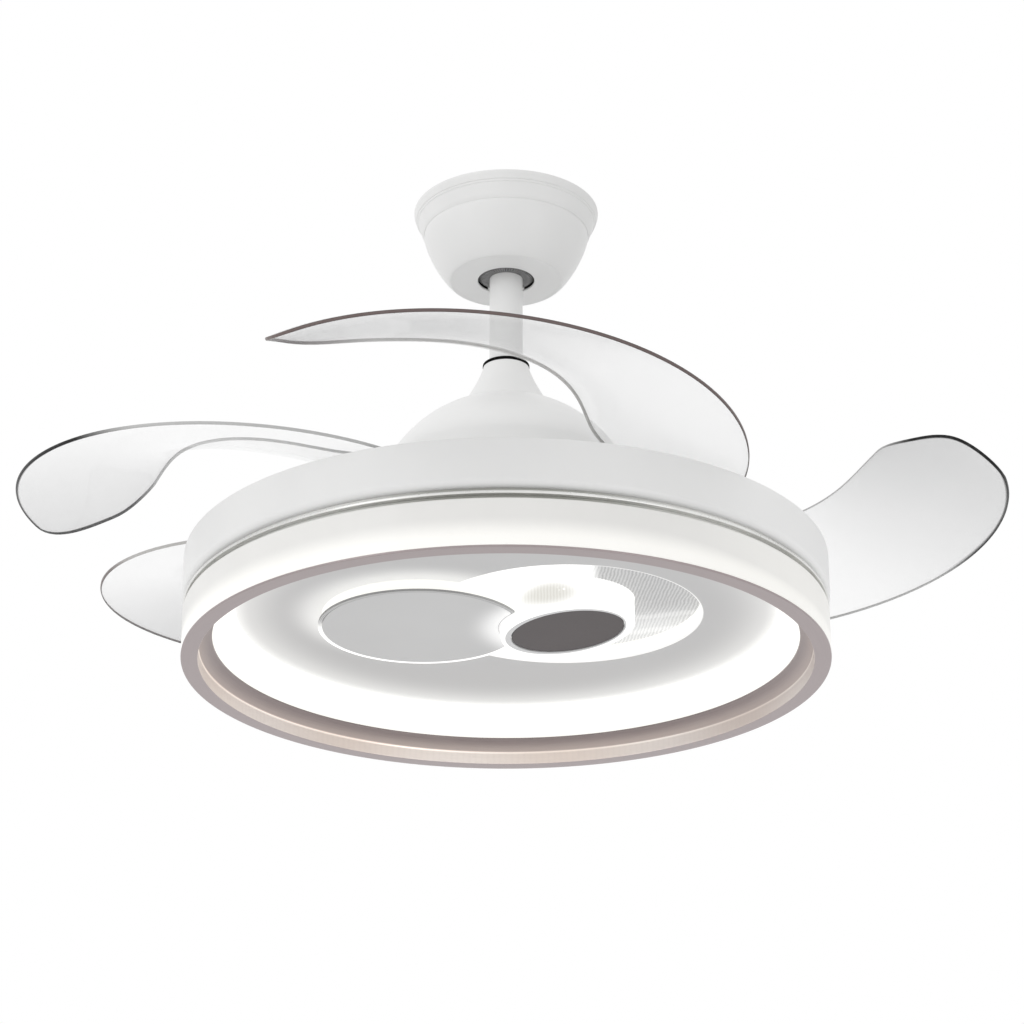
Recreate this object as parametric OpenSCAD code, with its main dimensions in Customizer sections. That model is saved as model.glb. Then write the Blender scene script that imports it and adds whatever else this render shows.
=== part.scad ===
// Ceiling fan with five retracting blades above a round light body, hung on a short rod.
// Millimetres. Origin: where the rod's line meets the ceiling. +Z up, the viewer stands at -Y.
// Heights of the light, motor and blades are measured up from the lowest face of the light.

/* [Overall] */
// Ceiling to the lowest face of the light
total_h = 398; // [392:1:600]
// Outer diameter of the light body
lamp_d = 500; // [490:1:540]

/* [Ceiling bracket] */
// Length of the ceiling plate
plate_l = 128; // [122:1:130]
// Width of the ceiling plate
plate_w = 40; // [32:1:46]
// Sheet thickness of the ceiling plate
plate_t = 2.5; // [2:0.1:3]
// Distance between the two ceiling screw slots
slot_dist = 90; // [84:1:94]
// Length of each slot between its end centres
slot_l = 10; // [4:1:14]
// Half width of each slot
slot_r = 2.6; // [2:0.1:3.2]
// Depth of the plate's turned-down ears
ear_h = 18; // [16:1:20]
// Sheet thickness of the arms and seat
arm_t = 2.5; // [2:0.1:3]
// Width of the ball seat across the arms
seat_w = 60; // [56:1:64]

/* [Canopy] */
// Outer radius of the canopy's straight part
canopy_r = 67.3; // [66.8:0.1:70]
// Total height of the canopy
canopy_h = 62; // [61:0.5:64]
// Height of the canopy's straight part
canopy_side = 22.5; // [20:0.5:26]
// Radius of the flat bottom of the canopy
canopy_flat = 45.5; // [42:0.5:50]
// Radius of the rod opening in the canopy
canopy_hole = 23; // [21.5:0.5:26]
// Wall of the canopy
canopy_t = 1.5; // [1:0.1:2]
// Outer radius of the cover ring at the ceiling
ring_r = 75.7; // [75:0.1:79]
// Height of the cover ring
ring_h = 21; // [20:0.5:22]
// Depth of the canopy screws below the ceiling
screw_drop = 10; // [9:0.5:11]

/* [Hanger] */
// Radius of the hanger ball
ball_r = 27; // [25:0.5:28]
// Depth of the ball centre below the ceiling
ball_drop = 44.2; // [43:0.2:45]
// Outer radius of the rod
rod_r = 13.5; // [12:0.1:14]
// Wall of the rod
rod_t = 2; // [1.5:0.1:2.5]
// Radius of the cross pins
pin_r = 3; // [2.5:0.1:3.2]
// Height of the rod end's coupling cover
cover_h = 29; // [28:0.5:31]
// Radius of the coupling cover at its foot
cover_foot = 31; // [29:0.5:32]
// Wall of the coupling cover
cover_t = 1.7; // [1.2:0.1:1.8]

/* [Motor] */
// Room from the rotor case to the outside of the dome
dome_room = 23; // [22:0.5:24]
// Height of the dome's straight skirt
dome_skirt = 36; // [30:1:42]
// Height of the dome's domed part
dome_rise = 68; // [66:1:72]
// Wall of the dome
dome_t = 1.8; // [1.2:0.1:2.2]
// Outer radius of the rotor case
case_r = 72; // [71:0.5:74]
// Height of the rotor case
case_h = 66; // [64:1:70]
// Wall of the rotor case
case_t = 5; // [4:0.5:5.5]
// Radial thickness of the magnets
magnet_t = 5.5; // [5:0.1:7]
// Stack height of the stator
stator_h = 24; // [18:1:28]
// Number of stator teeth
stator_teeth = 12; // [9:3:12]
// Radius of the fixed shaft
shaft_r = 10; // [9:0.1:10.2]
// Bore radius of the fixed shaft, for the wires
shaft_bore = 7; // [6:0.1:7.5]
// Running gap between shaft and bearings
run_gap = 0.05; // [0.02:0.01:0.1]

/* [Blade tray] */
// Height of the tray's flange above the light's lowest face
tray_z = 84; // [83.8:0.1:85]
// Sheet thickness of the tray's two plates
tray_t = 3; // [2.5:0.1:3.2]
// Width of the tray's flange beyond the hinges
tray_lip = 20.2; // [17:0.1:23]
// Clear height between the tray's two plates
tray_gap = 34; // [33.5:0.5:36]
// Distance of the blade hinges outside the rotor case
hinge_out = 17.8; // [17.4:0.1:18.8]
// Direction of the first hinge
hinge_ang = -4.34; // [-8:0.1:0]
// Radius of each hinge post
post_r = 5; // [4.5:0.1:5.5]
// Outer radius of each arm's hub
hub_r = 13; // [12:0.1:14]
// Height of each hub's thick part
hub_h = 17.5; // [16:0.5:18]
// Thickness of each blade arm
arm_plate = 3.4; // [2.6:0.2:4]
// Width of each blade arm
arm_width = 20; // [16:0.5:21]
// Wire thickness of the return springs
wire_d = 1.8; // [1.4:0.1:2]
// Turns of each return spring
spring_turns = 4.5; // [3:0.5:4.5]

/* [Blade outline] */
// Distance from the hinge to the centre of the blade's outer edge
arc_dist = 76.65; // [76:0.1:77.5]
// Direction from the first hinge to that centre
arc_dir = -37.07; // [-38:0.1:-36]
// Radius of the outer edge at the root
edge_root = 194.6; // [190:0.5:196]
// Radius of the outer edge half way
edge_mid = 231.5; // [227:0.5:234]
// Radius of the outer edge at the tip
edge_tip = 218.8; // [214:0.5:222]
// Direction of the root end, from the centre of the edge
root_ang = 101.19; // [100:0.5:102]
// Sweep of the blade about that centre
sweep_ang = 141.6; // [138:0.5:142.5]
// Width at the root
width_root = 92.2; // [88:0.5:93]
// Width at a quarter of the sweep
width_quarter = 125.4; // [122:0.5:126]
// Width half way
width_mid = 125.6; // [122:0.5:127]
// Width at three quarters of the sweep
width_three = 117.7; // [114:0.5:119]
// Width at the tip
width_tip = 66; // [62:0.5:72]
// Rounding of the tip's corners, as a share of the sweep
tip_share = 0.098; // [0.06:0.005:0.12]
// Sharpness of that rounding
tip_exponent = 2.3; // [2:0.1:3]

/* [Blade surface] */
// Thickness of a blade
blade_t = 2.4; // [2:0.1:2.8]
// Height of the blade's middle above the light's lowest face
blade_z = 128.5; // [128:0.5:131]
// Rise of the blade from root to tip
blade_rise = 43.4; // [42.8:0.1:44]
// Sag of both ends below the middle
end_sag = 4.5; // [4:0.1:5]
// S-bend along the blade
s_bend = -6.7; // [-7.1:0.1:-6.3]
// Rise from the outer to the inner edge
edge_rise = 22.5; // [21.8:0.1:23]
// Extra turn of both long edges
edge_curl = 8.2; // [7.8:0.1:8.6]
// Crown across the middle of the blade
crown = -7.3; // [-7.8:0.1:-6.8]
// Growth of the crown from root to tip
crown_grow = 25.3; // [24.7:0.1:25.9]
// Extra rise from root to tip of the inner edge against the outer one
corner_lift = -14.4; // [-15:0.1:-13.8]

/* [Blade travel] */
// Opening angle of the first blade in the drawn position
rest_ang_1 = 14.4; // [11:0.1:17]
// Opening angle of the second blade
rest_ang_2 = -21.9; // [-25:0.1:-18]
// Opening angle of the third blade
rest_ang_3 = -17.6; // [-21:0.1:-14]
// Opening angle of the fourth blade
rest_ang_4 = 9.4; // [6:0.1:12]
// Opening angle of the fifth blade
rest_ang_5 = 0; // [-3:0.1:4]

/* [Light body] */
// Height of the frosted side of the light
side_h = 37.6; // [36:0.2:38]
// Wall of the frosted side
side_t = 2.5; // [2:0.1:3]
// Height of the pan's outer band
pan_h = 36.8; // [34:0.2:37]
// Sheet thickness of the pan
pan_t = 2; // [1.5:0.1:2.4]
// Height of the gap band with the bright ring
groove_h = 8.4; // [8.2:0.1:9]
// Depth of the pan's top below its rim
pan_dip = 4.8; // [4.6:0.1:5.4]
// Width of the trim ring's flat face
trim_w = 13.1; // [11:0.1:14]
// Height of the trim ring's inner wall
trim_wall = 10.5; // [8:0.5:12]
// Sheet thickness of the trim ring
trim_t = 1.5; // [1:0.1:2]
// Height of the panel's face above the lowest face
panel_z = 44; // [43:0.2:45]
// Width of the glowing cone, seen from below
glow_w = 17.2; // [15:0.1:22]
// Thickness of the acrylic panels
acrylic_t = 2.5; // [2:0.1:3]
// Radius of the round recess
recess_r = 106; // [102:0.5:107]
// Offset of the recess from the fan's axis
recess_x = 46; // [44:0.5:48]
// Depth of the recess above the panel
recess_d = 15; // [14:0.2:15.6]
// Radius of the grey disc
disc_r = 80; // [76:0.5:82]
// Offset of the grey disc from the fan's axis
disc_x = -66; // [-68:0.5:-64]
// Drop of the grey disc's face below the panel
disc_drop = 10.5; // [9:0.5:12]
// Radius of the lamp drum
drum_r = 52; // [49:0.5:53]
// Offset of the lamp drum from the fan's axis
drum_x = 48; // [47:0.5:49]
// Drop of the drum's face below the panel, at its middle
drum_drop = 13.4; // [12:0.2:15]
// Tilt of the drum's face
drum_tilt = 6.5; // [0:0.5:8]
// Radius of the dark cap in the drum's face
cap_r = 44; // [40:0.5:45]
// Length of the driver box
driver_l = 150; // [120:1:160]
// Width of the driver box
driver_w = 46; // [40:1:50]

/* [Hidden] */
$fn = 96;
e = 0.05;
snug = 0.05;
near = 0.3;
white = "#e2e2e2";
frost = "#f4f3f0";
clear = "#d9dcde";
steel = "#9a9a98";
champagne = "#968a89";
grey = "#c8c8c8";
dark = "#5a5254";
black = "#202022";
copper = "#a86a3c";

// radii about the fan's axis
air_gap = 0.5;
stator_r = case_r - case_t - 1 - magnet_t - air_gap;
dome_r = case_r + dome_room;
hinge_reach = case_r + hinge_out;
tray_r = hinge_reach + tray_lip;
// levels above the light's lowest face
pan_z = side_h + groove_h;
pan_top = pan_z + pan_h;
pan_r = lamp_d / 2 + 1;
side_r = lamp_d / 2;
tray_top = tray_z + tray_t;
plate_z = tray_top + tray_gap;
plate_top = plate_z + tray_t;
dome_top = plate_top + dome_skirt + dome_rise;
case_top = plate_top + case_h;
hub_top_r = 28;
neck_h = 20;
case_neck = case_top + neck_h;
brg_r = 21;
brg_h = 12;
foot_hub_r = 27;
foot_hub_h = 11;
yoke_z = dome_top - 10;
yoke_r = 16;
boss_h = 14;
rod_z = yoke_z + boss_h;
cover_z = dome_top + 1;
cover_top = cover_z + cover_h;
yoke_top = cover_top - cover_t;
rod_top = total_h - 22;
ball_z = total_h - ball_drop;
clevis_z = rod_z + 11;
rod_in = rod_r - rod_t;
cover_tip = rod_r + 4.5;
canopy_corner = canopy_r - canopy_flat;
seat_x = ball_r + 6 + arm_t;
seat_below = 11.4;
seat_r = sqrt(pow(ball_r + near, 2) - pow(seat_below, 2));
pin_up = 12.2;
ball_flat = 16.3;
carrier_h = 7;
nut_h = 8;
shaft_low = pan_top - nut_h - 0.8;
shaft_top = rod_z - near;
column_in = case_r - 6;
carrier_r = column_in - 6;
boss_r = carrier_r + 3;
pan_hole = shaft_r + 20;
screw_pcr = case_r - 3;
post_low = tray_z - 2.5;
hub_z = tray_top + 1.5;
neck_r = post_r + 3;
buffer_r = 4;
buffer_d = hub_r + buffer_r + 8;
trim_in = side_r - trim_w;
cham = 10.3;
cham_h = 8;
cone_top = trim_in - cham - glow_w;
panel_r = cone_top + 3.2;
recess_top = panel_z + recess_d;
led_z = recess_top + trim_t;
led_top = led_z + trim_t;
lens_t = 2.2;
lens_z = recess_top - lens_t;
cup_wall = 2;
cup_r = recess_r + cup_wall;
tube_t = 2.5;
disc_z = panel_z - disc_drop;
drum_z = panel_z - drum_drop;
step_ang = 72;
rests = [rest_ang_1, rest_ang_2, rest_ang_3, rest_ang_4, rest_ang_5];
hinge = hinge_reach * [cos(hinge_ang), sin(hinge_ang)];

module low(z = 0) translate([0, 0, z - total_h]) children();
module tube(ro, ri, h) difference() {
    cylinder(r = ro, h = h);
    translate([0, 0, -e]) cylinder(r = ri, h = h + 2 * e);
}
module along_x() rotate([0, 90, 0]) children();
module along_y() rotate([-90, 0, 0]) children();
module ring_of(n, r, a0 = 0) for (i = [0 : n - 1]) rotate([0, 0, a0 + i * 360 / n])
    translate([r, 0, 0]) children();
module at_hinge(i) rotate([0, 0, -step_ang * i]) translate([hinge.x, hinge.y, 0]) children();

// ---- ceiling bracket, canopy and cover ring ----
module ceiling_bracket() color(steel) difference() {
    union() {
        intersection() {
            union() {
                translate([-plate_l / 2, -plate_w / 2, -plate_t]) cube([plate_l, plate_w, plate_t]);
                for (s = [-1, 1]) translate([s * (plate_l - plate_t) / 2 - plate_t / 2, -13, -ear_h])
                    cube([plate_t, 26, ear_h]);
            }
            translate([0, 0, -ear_h - 1]) cylinder(r = canopy_r - canopy_t - near, h = ear_h + 1);
        }
        for (s = [-1, 1]) {
            translate([s * (seat_x - arm_t / 2) - arm_t / 2, -plate_w / 2,
                -ball_drop - seat_below - arm_t])
                cube([arm_t, plate_w, ball_drop + seat_below + arm_t]);
        }
        translate([-seat_x, -seat_w / 2, -ball_drop - seat_below - arm_t])
            cube([2 * seat_x, seat_w, arm_t]);
        for (s = [-1, 1]) translate([s * (ball_r - 3.5), 0, -ball_drop])
            rotate([0, s * 90, 0]) cylinder(r = 2.5, h = seat_x - arm_t / 2 - ball_r + 3.5);
    }
    for (s = [-1, 1]) translate([s * slot_dist / 2, 0, -plate_t - e]) {
        for (k = [-1, 1]) translate([k * slot_l / 2, 0, 0]) cylinder(r = slot_r, h = plate_t + 2 * e);
        translate([-slot_l / 2, -slot_r, 0]) cube([slot_l, 2 * slot_r, plate_t + 2 * e]);
    }
    translate([0, 0, -ball_drop - seat_below - arm_t - e]) cylinder(r = seat_r, h = arm_t + 2 * e);
    translate([-rod_r - 1.5, 0, -ball_drop - seat_below - arm_t - e])
        cube([2 * rod_r + 3, seat_w / 2 + 1, arm_t + 2 * e]);
    for (s = [-1, 1]) translate([s * plate_l / 2, 0, -screw_drop]) along_x()
        cylinder(r = 2.1, h = 4 * plate_t, center = true);
}

bowl_h = canopy_h - canopy_side;
function bowl(d, a) = [canopy_flat + (canopy_corner - d) * cos(a),
    -canopy_side - (bowl_h - d) * sin(a)];
module canopy() color(white) difference() {
    rotate_extrude() polygon(concat(
        [[canopy_r, 0]], [for (a = [0 : 6 : 90]) bowl(0, a)],
        [[canopy_hole, -canopy_h], [canopy_hole, canopy_t - canopy_h]],
        [for (a = [90 : -6 : 0]) bowl(canopy_t, a)], [[canopy_r - canopy_t, 0]]));
    for (s = [-1, 1]) translate([s * canopy_r, 0, -screw_drop]) along_x()
        cylinder(r = 2.7, h = 3 * canopy_t, center = true);
}
module canopy_ring() color(white) rotate_extrude() polygon([
    [ring_r, 0], [ring_r, -2], [ring_r - 3.9, 6 - ring_h], [ring_r - 4.9, 5 - ring_h],
    [ring_r - 5.5, 1 - ring_h], [ring_r - 5.9, -ring_h], [canopy_r + near, -ring_h],
    [canopy_r + near, 3.5 - ring_h], [ring_r - 5.4, 5.7 - ring_h], [ring_r - 4.7, 6.6 - ring_h],
    [ring_r - 1.8, -3], [ring_r - 1.8, 0]]);
module canopy_screws() color(steel) for (s = [-1, 1]) translate([0, 0, -screw_drop])
    rotate([0, s * 90, 0]) {
        translate([0, 0, plate_l / 2 - plate_t - 2]) cylinder(r = 2.05, h = canopy_r - plate_l / 2 + plate_t + 2);
        translate([0, 0, canopy_r]) cylinder(r = 4.2, h = 2.2);
    }
module receiver_box() color(white) translate([0, 0, -plate_t - 14]) {
    translate([-seat_x + arm_t + 2, -15, 0]) cube([2 * (seat_x - arm_t - 2), 30, 14]);
}

// ---- hanger, rod and motor coupling ----
module hanger_ball() color("#8c8c8c") low(ball_z) difference() {
    sphere(r = ball_r);
    translate([-ball_r - 1, -ball_r - 1, -ball_r - 1]) cube([2 * ball_r + 2, 2 * ball_r + 2, ball_r + 1 - ball_flat]);
    translate([-ball_r - 1, -ball_r - 1, ball_r - 7]) cube([2 * ball_r + 2, 2 * ball_r + 2, 9]);
    translate([0, 0, -ball_r]) cylinder(r = rod_r + snug, h = 2 * ball_r);
    translate([0, 0, pin_up]) along_y() cylinder(r = pin_r + snug, h = 3 * ball_r, center = true);
    for (s = [-1, 1]) translate([s * (ball_r - 4.5), 0, 0]) rotate([0, s * 90, 0])
        cylinder(r = 3, h = 8);
}
module ball_pin() color(steel) low(ball_z + pin_up) along_y()
    cylinder(r = pin_r, h = 2 * (ball_r - 4), center = true);
module downrod() color(white) difference() {
    low(rod_z) tube(rod_r, rod_in, rod_top - rod_z);
    low(ball_z + pin_up) along_y() cylinder(r = pin_r + snug, h = 3 * rod_r, center = true);
    low(clevis_z) along_x() cylinder(r = pin_r + snug, h = 3 * rod_r, center = true);
}
module coupling_gasket() color(black) low(cover_top) tube(cover_tip, rod_r + snug, 1.5);
function cover_out(z) = cover_tip + (cover_foot - cover_tip) * pow(1 - z / cover_h, 1.3);
module coupling_cover() color(white) low(cover_z) rotate_extrude() polygon(concat(
    [for (k = [0 : 14]) [cover_out(k * cover_h / 14), k * cover_h / 14]],
    [[rod_r + near, cover_h], [rod_r + near, cover_h - cover_t]],
    [for (k = [14 : -1 : 0]) let (z = k * (cover_h - cover_t) / 14) [cover_out(z) - cover_t, z]]));
module yoke() color(steel) difference() {
    low(yoke_z) cylinder(r = yoke_r, h = yoke_top - yoke_z);
    low(yoke_z - e) cylinder(r = shaft_r + snug, h = yoke_top - yoke_z + 2 * e);
    low(rod_z) cylinder(r = rod_r + snug, h = yoke_top - rod_z + e);
    low(clevis_z) along_x() cylinder(r = pin_r + snug, h = 3 * yoke_r, center = true);
    low(yoke_z + boss_h / 2) along_x() cylinder(r = 2.55, h = yoke_r + 1);
}
module yoke_screw() color(steel) low(yoke_z + boss_h / 2) along_x()
    translate([0, 0, shaft_r]) cylinder(r = 2.5, h = yoke_r - shaft_r);
module clevis_pin() color(steel) low(clevis_z) rotate([0, -90, 0]) {
    translate([0, 0, -yoke_r - 2]) cylinder(r = pin_r, h = 2 * yoke_r + 2);
    translate([0, 0, yoke_r]) cylinder(r = pin_r + 1.5, h = 1.8);
    translate([0, 0, -yoke_r - 1.4]) tube(pin_r + 1.6, pin_r, 0.8);
}
module lead_bundle() color(black) {
    off = pin_r + 2.2;
    low(led_top) cylinder(r = 2, h = shaft_top - 8 - led_top);
    low(shaft_top - 8) sphere(r = 2.4);
    low(shaft_top - 8) rotate([0, atan(off * sqrt(2) / 15), 45]) cylinder(r = 2, h = norm([off, off, 15]));
    translate([off, off, 0]) low(shaft_top + 7) sphere(r = 2.4);
    translate([off, off, 0]) low(shaft_top + 7) cylinder(r = 2, h = rod_top - 4 - shaft_top - 7);
}

// ---- motor, fixed parts ----
module motor_shaft() color(steel) low(shaft_low) tube(shaft_r, shaft_bore, shaft_top - shaft_low);
stator_z = (plate_top + case_top) / 2 + 3 - stator_h / 2;
tooth_a = 360 / stator_teeth;
module stator_core() color(steel) low(stator_z) difference() {
    cylinder(r = stator_r, h = stator_h);
    translate([0, 0, -e]) cylinder(r = shaft_r + snug, h = stator_h + 2 * e);
    for (i = [0 : stator_teeth - 1]) rotate([0, 0, i * tooth_a]) {
        for (x = [stator_r * 7 / 12, stator_r * 4 / 5]) translate([x, 0, -e])
            cylinder(r = stator_r / 10, h = stator_h + 2 * e);
        translate([stator_r * 7 / 12, -stator_r / 10, -e])
            cube([stator_r * 13 / 60, stator_r / 5, stator_h + 2 * e]);
        translate([stator_r * 4 / 5, -1.5, -e]) cube([stator_r / 4, 3, stator_h + 2 * e]);
    }
}
coil_w = stator_r / 6;
module coil_head() rotate_extrude() translate([4 * coil_w, 0]) polygon(
    [[-coil_w, 0], [coil_w, 0], [coil_w, 4], [coil_w - 3, 8], [3 - coil_w, 8], [-coil_w, 4]]);
module stator_coils() color(copper) {
    low(stator_z + stator_h) coil_head();
    low(stator_z) mirror([0, 0, 1]) coil_head();
}
module lamp_carrier() color(steel) difference() {
    low(pan_top) cylinder(r = carrier_r, h = carrier_h);
    low(pan_top - e) cylinder(r = shaft_r + snug, h = carrier_h + 2 * e);
    low(pan_top - e) ring_of(3, carrier_r - 14, 90) cylinder(r = 2.55, h = carrier_h + 2 * e);
}
module shaft_nut() color(steel) low(pan_top - nut_h) difference() {
    cylinder(r = shaft_r + 5, h = nut_h, $fn = 6);
    translate([0, 0, -e]) cylinder(r = shaft_r + snug, h = nut_h + 2 * e);
}
module carrier_screws() color(steel) ring_of(3, carrier_r - 14, 90) {
    low(pan_top - pan_t) cylinder(r = 2.5, h = pan_t + carrier_h - 1);
    low(pan_top - pan_t - 3) cylinder(r = 5, h = 3);
}

// ---- light body ----
function arc_pts(c, r, a0, a1, n) = [for (k = [0 : n]) let (a = a0 + (a1 - a0) * k / n) c + r * [cos(a), sin(a)]];
lip = 6;
rim_w = 8;
module lamp_pan() color(white) difference() {
    low() rotate_extrude() polygon(concat(
        [[pan_r - lip - 7, pan_z]], arc_pts([pan_r - lip, pan_z + lip], lip, -90, 0, 6),
        [[pan_r, pan_top], [pan_r - rim_w, pan_top], [pan_r - rim_w - 1.2, pan_top - pan_dip],
         [boss_r + 2, pan_top - pan_dip], [boss_r, pan_top], [pan_hole, pan_top],
         [pan_hole, pan_top - pan_t], [boss_r - 1.2, pan_top - pan_t],
         [boss_r + 0.8, pan_top - pan_dip - pan_t], [pan_r - rim_w + 0.2, pan_top - pan_dip - pan_t],
         [pan_r - rim_w + 1.4, pan_top - pan_t], [pan_r - pan_t, pan_top - pan_t]],
        arc_pts([pan_r - lip, pan_z + lip], lip - pan_t, 0, -90, 6), [[pan_r - lip - 7, pan_z + pan_t]]));
    low(pan_top - pan_t - e) ring_of(3, carrier_r - 14, 90) cylinder(r = 2.75, h = pan_t + 2 * e);
    low(pan_z - e) ring_of(6, pan_r - 10, 15) cylinder(r = 1.6, h = pan_t + 2 * e);
}
module bright_ring() color("#c9c9c6") difference() {
    low(side_h) rotate_extrude() polygon([
        [side_r - 12, 0], [side_r - 4, 0], [side_r - 4, 2.9], [side_r, 2.9], [side_r, 5.4],
        [side_r - 4, 5.4], [side_r - 4, groove_h], [side_r - 12, groove_h]]);
    low(side_h + groove_h - 6) ring_of(6, pan_r - 10, 15) cylinder(r = 1.6, h = 6 + e);
}
module side_diffuser() color(frost) low() rotate_extrude() polygon([
    [side_r - side_t, trim_t], [side_r, trim_t], [side_r, side_h], [side_r - 11, side_h],
    [side_r - 11, side_h - side_t], [side_r - side_t, side_h - side_t]]);
module trim_ring() color(champagne) low() rotate_extrude() polygon([
    [trim_in, 0], [side_r, 0], [side_r, trim_t], [trim_in + trim_t, trim_t],
    [trim_in + trim_t, trim_wall + 0.8], [trim_in - cham + 1.6, trim_wall + cham_h + 1.4],
    [trim_in - cham, trim_wall + cham_h + 1.4], [trim_in - cham, trim_wall + cham_h],
    [trim_in, trim_wall]]);
module glow_ring() color("#fefefa") low() rotate_extrude() polygon([
    [trim_in - cham, trim_wall + cham_h + 1.4], [trim_in - cham + 3.2, trim_wall + cham_h + 1.4],
    [cone_top + 3.2, panel_z], [cone_top, panel_z]]);
module centre_panel() color(grey) {
    difference() {
        low(panel_z) cylinder(r = panel_r, h = acrylic_t);
        translate([recess_x, 0, 0]) low(panel_z - e) cylinder(r = cup_r + near, h = acrylic_t + 2 * e);
    }
    low(panel_z + acrylic_t) ring_of(6, panel_r - 12, 30) cylinder(r = 3.5, h = led_z - panel_z - acrylic_t);
}
module recess_cup() color("#fbfbf6") translate([recess_x, 0, 0]) low(panel_z) difference() {
    union() {
        cylinder(r = cup_r, h = led_z - panel_z);
        translate([0, 0, acrylic_t]) cylinder(r = cup_r + 4, h = 1.5);
    }
    translate([0, 0, -e]) cylinder(r = recess_r, h = recess_d + e);
}
module drum_gap(h, c) translate([drum_x, 0, 0]) cylinder(r = drum_r + c, h = h);
module ripple_lens() color(clear) difference() {
    translate([recess_x, 0, 0]) low(lens_z) cylinder(r = recess_r - near, h = lens_t);
    low(lens_z - e) drum_gap(lens_t + 2 * e, near);
}
module face_plane() translate([drum_x, 0, 0]) low(drum_z) rotate([0, -drum_tilt, 0]) children();
module light_tube() color("#fbfbf8") difference() {
    translate([drum_x, 0, 0]) low(drum_z - 12) tube(drum_r, drum_r - tube_t, recess_top - drum_z + 12);
    face_plane() translate([-drum_r - 5, -drum_r - 5, 3 - 30]) cube([2 * drum_r + 10, 2 * drum_r + 10, 30]);
}
module tube_ring() color("#dcdcda") face_plane() tube(drum_r - 0.4, cap_r + 0.1, 3);
module tube_cap() color(dark) face_plane() translate([0, 0, 0.6]) cylinder(r = cap_r, h = 2.4);
module disc_plate() color(grey) difference() {
    translate([disc_x, 0, 0]) low(disc_z) cylinder(r = disc_r, h = trim_t + 0.5);
    low(disc_z - e) drum_gap(trim_t + 1, 1.5);
}
module disc_diffuser() color("#fcfcf8") difference() {
    union() {
        translate([disc_x, 0, 0]) low(disc_z + trim_t + 0.5)
            tube(disc_r - 3, disc_r - 3 - acrylic_t, panel_z - disc_z - trim_t - 0.5);
        intersection() {
            translate([disc_x, 0, 0]) low(panel_z - e)
                tube(disc_r - 3, disc_r - 3 - acrylic_t, lens_z - panel_z + e);
            translate([recess_x, 0, 0]) low(panel_z - 2 * e) cylinder(r = recess_r - near, h = lens_z - panel_z + 2 * e);
        }
    }
    low(disc_z) drum_gap(lens_z - disc_z + 1, 1.5);
}
foot_in = pan_r - 17;
module led_plate() color("#d4d4d2") difference() {
    low() rotate_extrude() polygon([
        [0, led_z], [foot_in, led_z], [foot_in, pan_z + pan_t], [pan_r - 8, pan_z + pan_t],
        [pan_r - 8, pan_z + pan_t + trim_t], [foot_in + trim_t, pan_z + pan_t + trim_t],
        [foot_in + trim_t, led_top], [0, led_top]]);
    low(pan_z) ring_of(6, pan_r - 10, 15) cylinder(r = 1.6, h = 10);
}
module plate_screws() color(steel) ring_of(6, pan_r - 10, 15) {
    low(side_h + groove_h - 5.5) cylinder(r = 1.5, h = 5.5 + pan_t + trim_t);
    low(pan_z + pan_t + trim_t) cylinder(r = 2, h = 1.6);
}
module led_boards() color("#f0f0ee") low(led_z - 1.2) {
    tube(panel_r - 0.5 + 16, panel_r + 4, 1.2);
    translate([recess_x, 0, 0]) tube(cup_r + 14, cup_r + 6, 1.2);
    difference() {
        translate([disc_x, 0, 0]) tube(disc_r * 0.85, disc_r / 2, 1.2);
        translate([recess_x, 0, -e]) cylinder(r = cup_r + 15, h = 2);
    }
}
module led_driver() color(white) translate([-driver_l / 2, carrier_r - 5, 0]) low(led_top)
    cube([driver_l, driver_w, pan_top - pan_dip - pan_t - led_top - 1.5]);

// ---- motor, turning parts ----
brg_up = case_neck - 2 - brg_h;
brg_low = plate_top + 3 - brg_h;
module bearing() rotate_extrude() polygon([
    [shaft_r + run_gap, 0], [shaft_r + 3.5, 0], [shaft_r + 3.5, 1], [brg_r - 3, 1], [brg_r - 3, 0],
    [brg_r, 0], [brg_r, brg_h], [brg_r - 3, brg_h], [brg_r - 3, brg_h - 1],
    [shaft_r + 3.5, brg_h - 1], [shaft_r + 3.5, brg_h], [shaft_r + run_gap, brg_h]]);
module motor_bearings() color(steel) {
    low(brg_up) bearing();
    low(brg_low) bearing();
}
module rotor_case_upper() color("#b4b4b2") low() rotate_extrude() polygon([
    [case_r, plate_top + 5], [case_r, case_top - 6], [case_r - 6, case_top], [hub_top_r, case_top],
    [hub_top_r - 2, case_neck], [shaft_r + 5, case_neck], [shaft_r + 5, case_neck - 2],
    [brg_r + snug, case_neck - 2], [brg_r + snug, case_neck - 2 - brg_h], [shaft_r + 6, case_neck - 2 - brg_h],
    [shaft_r + 6, case_top - case_t], [case_r - case_t - 5, case_top - case_t],
    [case_r - case_t - 0.8, case_top - case_t - 4.5], [case_r - case_t - 0.8, plate_top + 5]]);
module rotor_case_lower() color("#b4b4b2") difference() {
    low() rotate_extrude() polygon([
        [shaft_r + 5, plate_top + 5], [case_r, plate_top + 5], [case_r, plate_top],
        [foot_hub_r, plate_top], [foot_hub_r, plate_top - foot_hub_h], [brg_r + snug, plate_top - foot_hub_h],
        [brg_r + snug, plate_top + 3], [shaft_r + 5, plate_top + 3]]);
    low(plate_top - e) ring_of(6, screw_pcr - 8) cylinder(r = 2.2, h = 6);
}
magnet_n = 16;
module magnet_ring() color("#6a6a6c") low(stator_z - 2) difference() {
    tube(case_r - case_t - 1, stator_r + air_gap, stator_h + 4);
    for (i = [0 : magnet_n - 1]) rotate([0, 0, i * 360 / magnet_n])
        translate([stator_r - 1, -0.4, -e]) cube([magnet_t / 2 + 1.5, 0.8, stator_h + 4 + 2 * e]);
}
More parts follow.
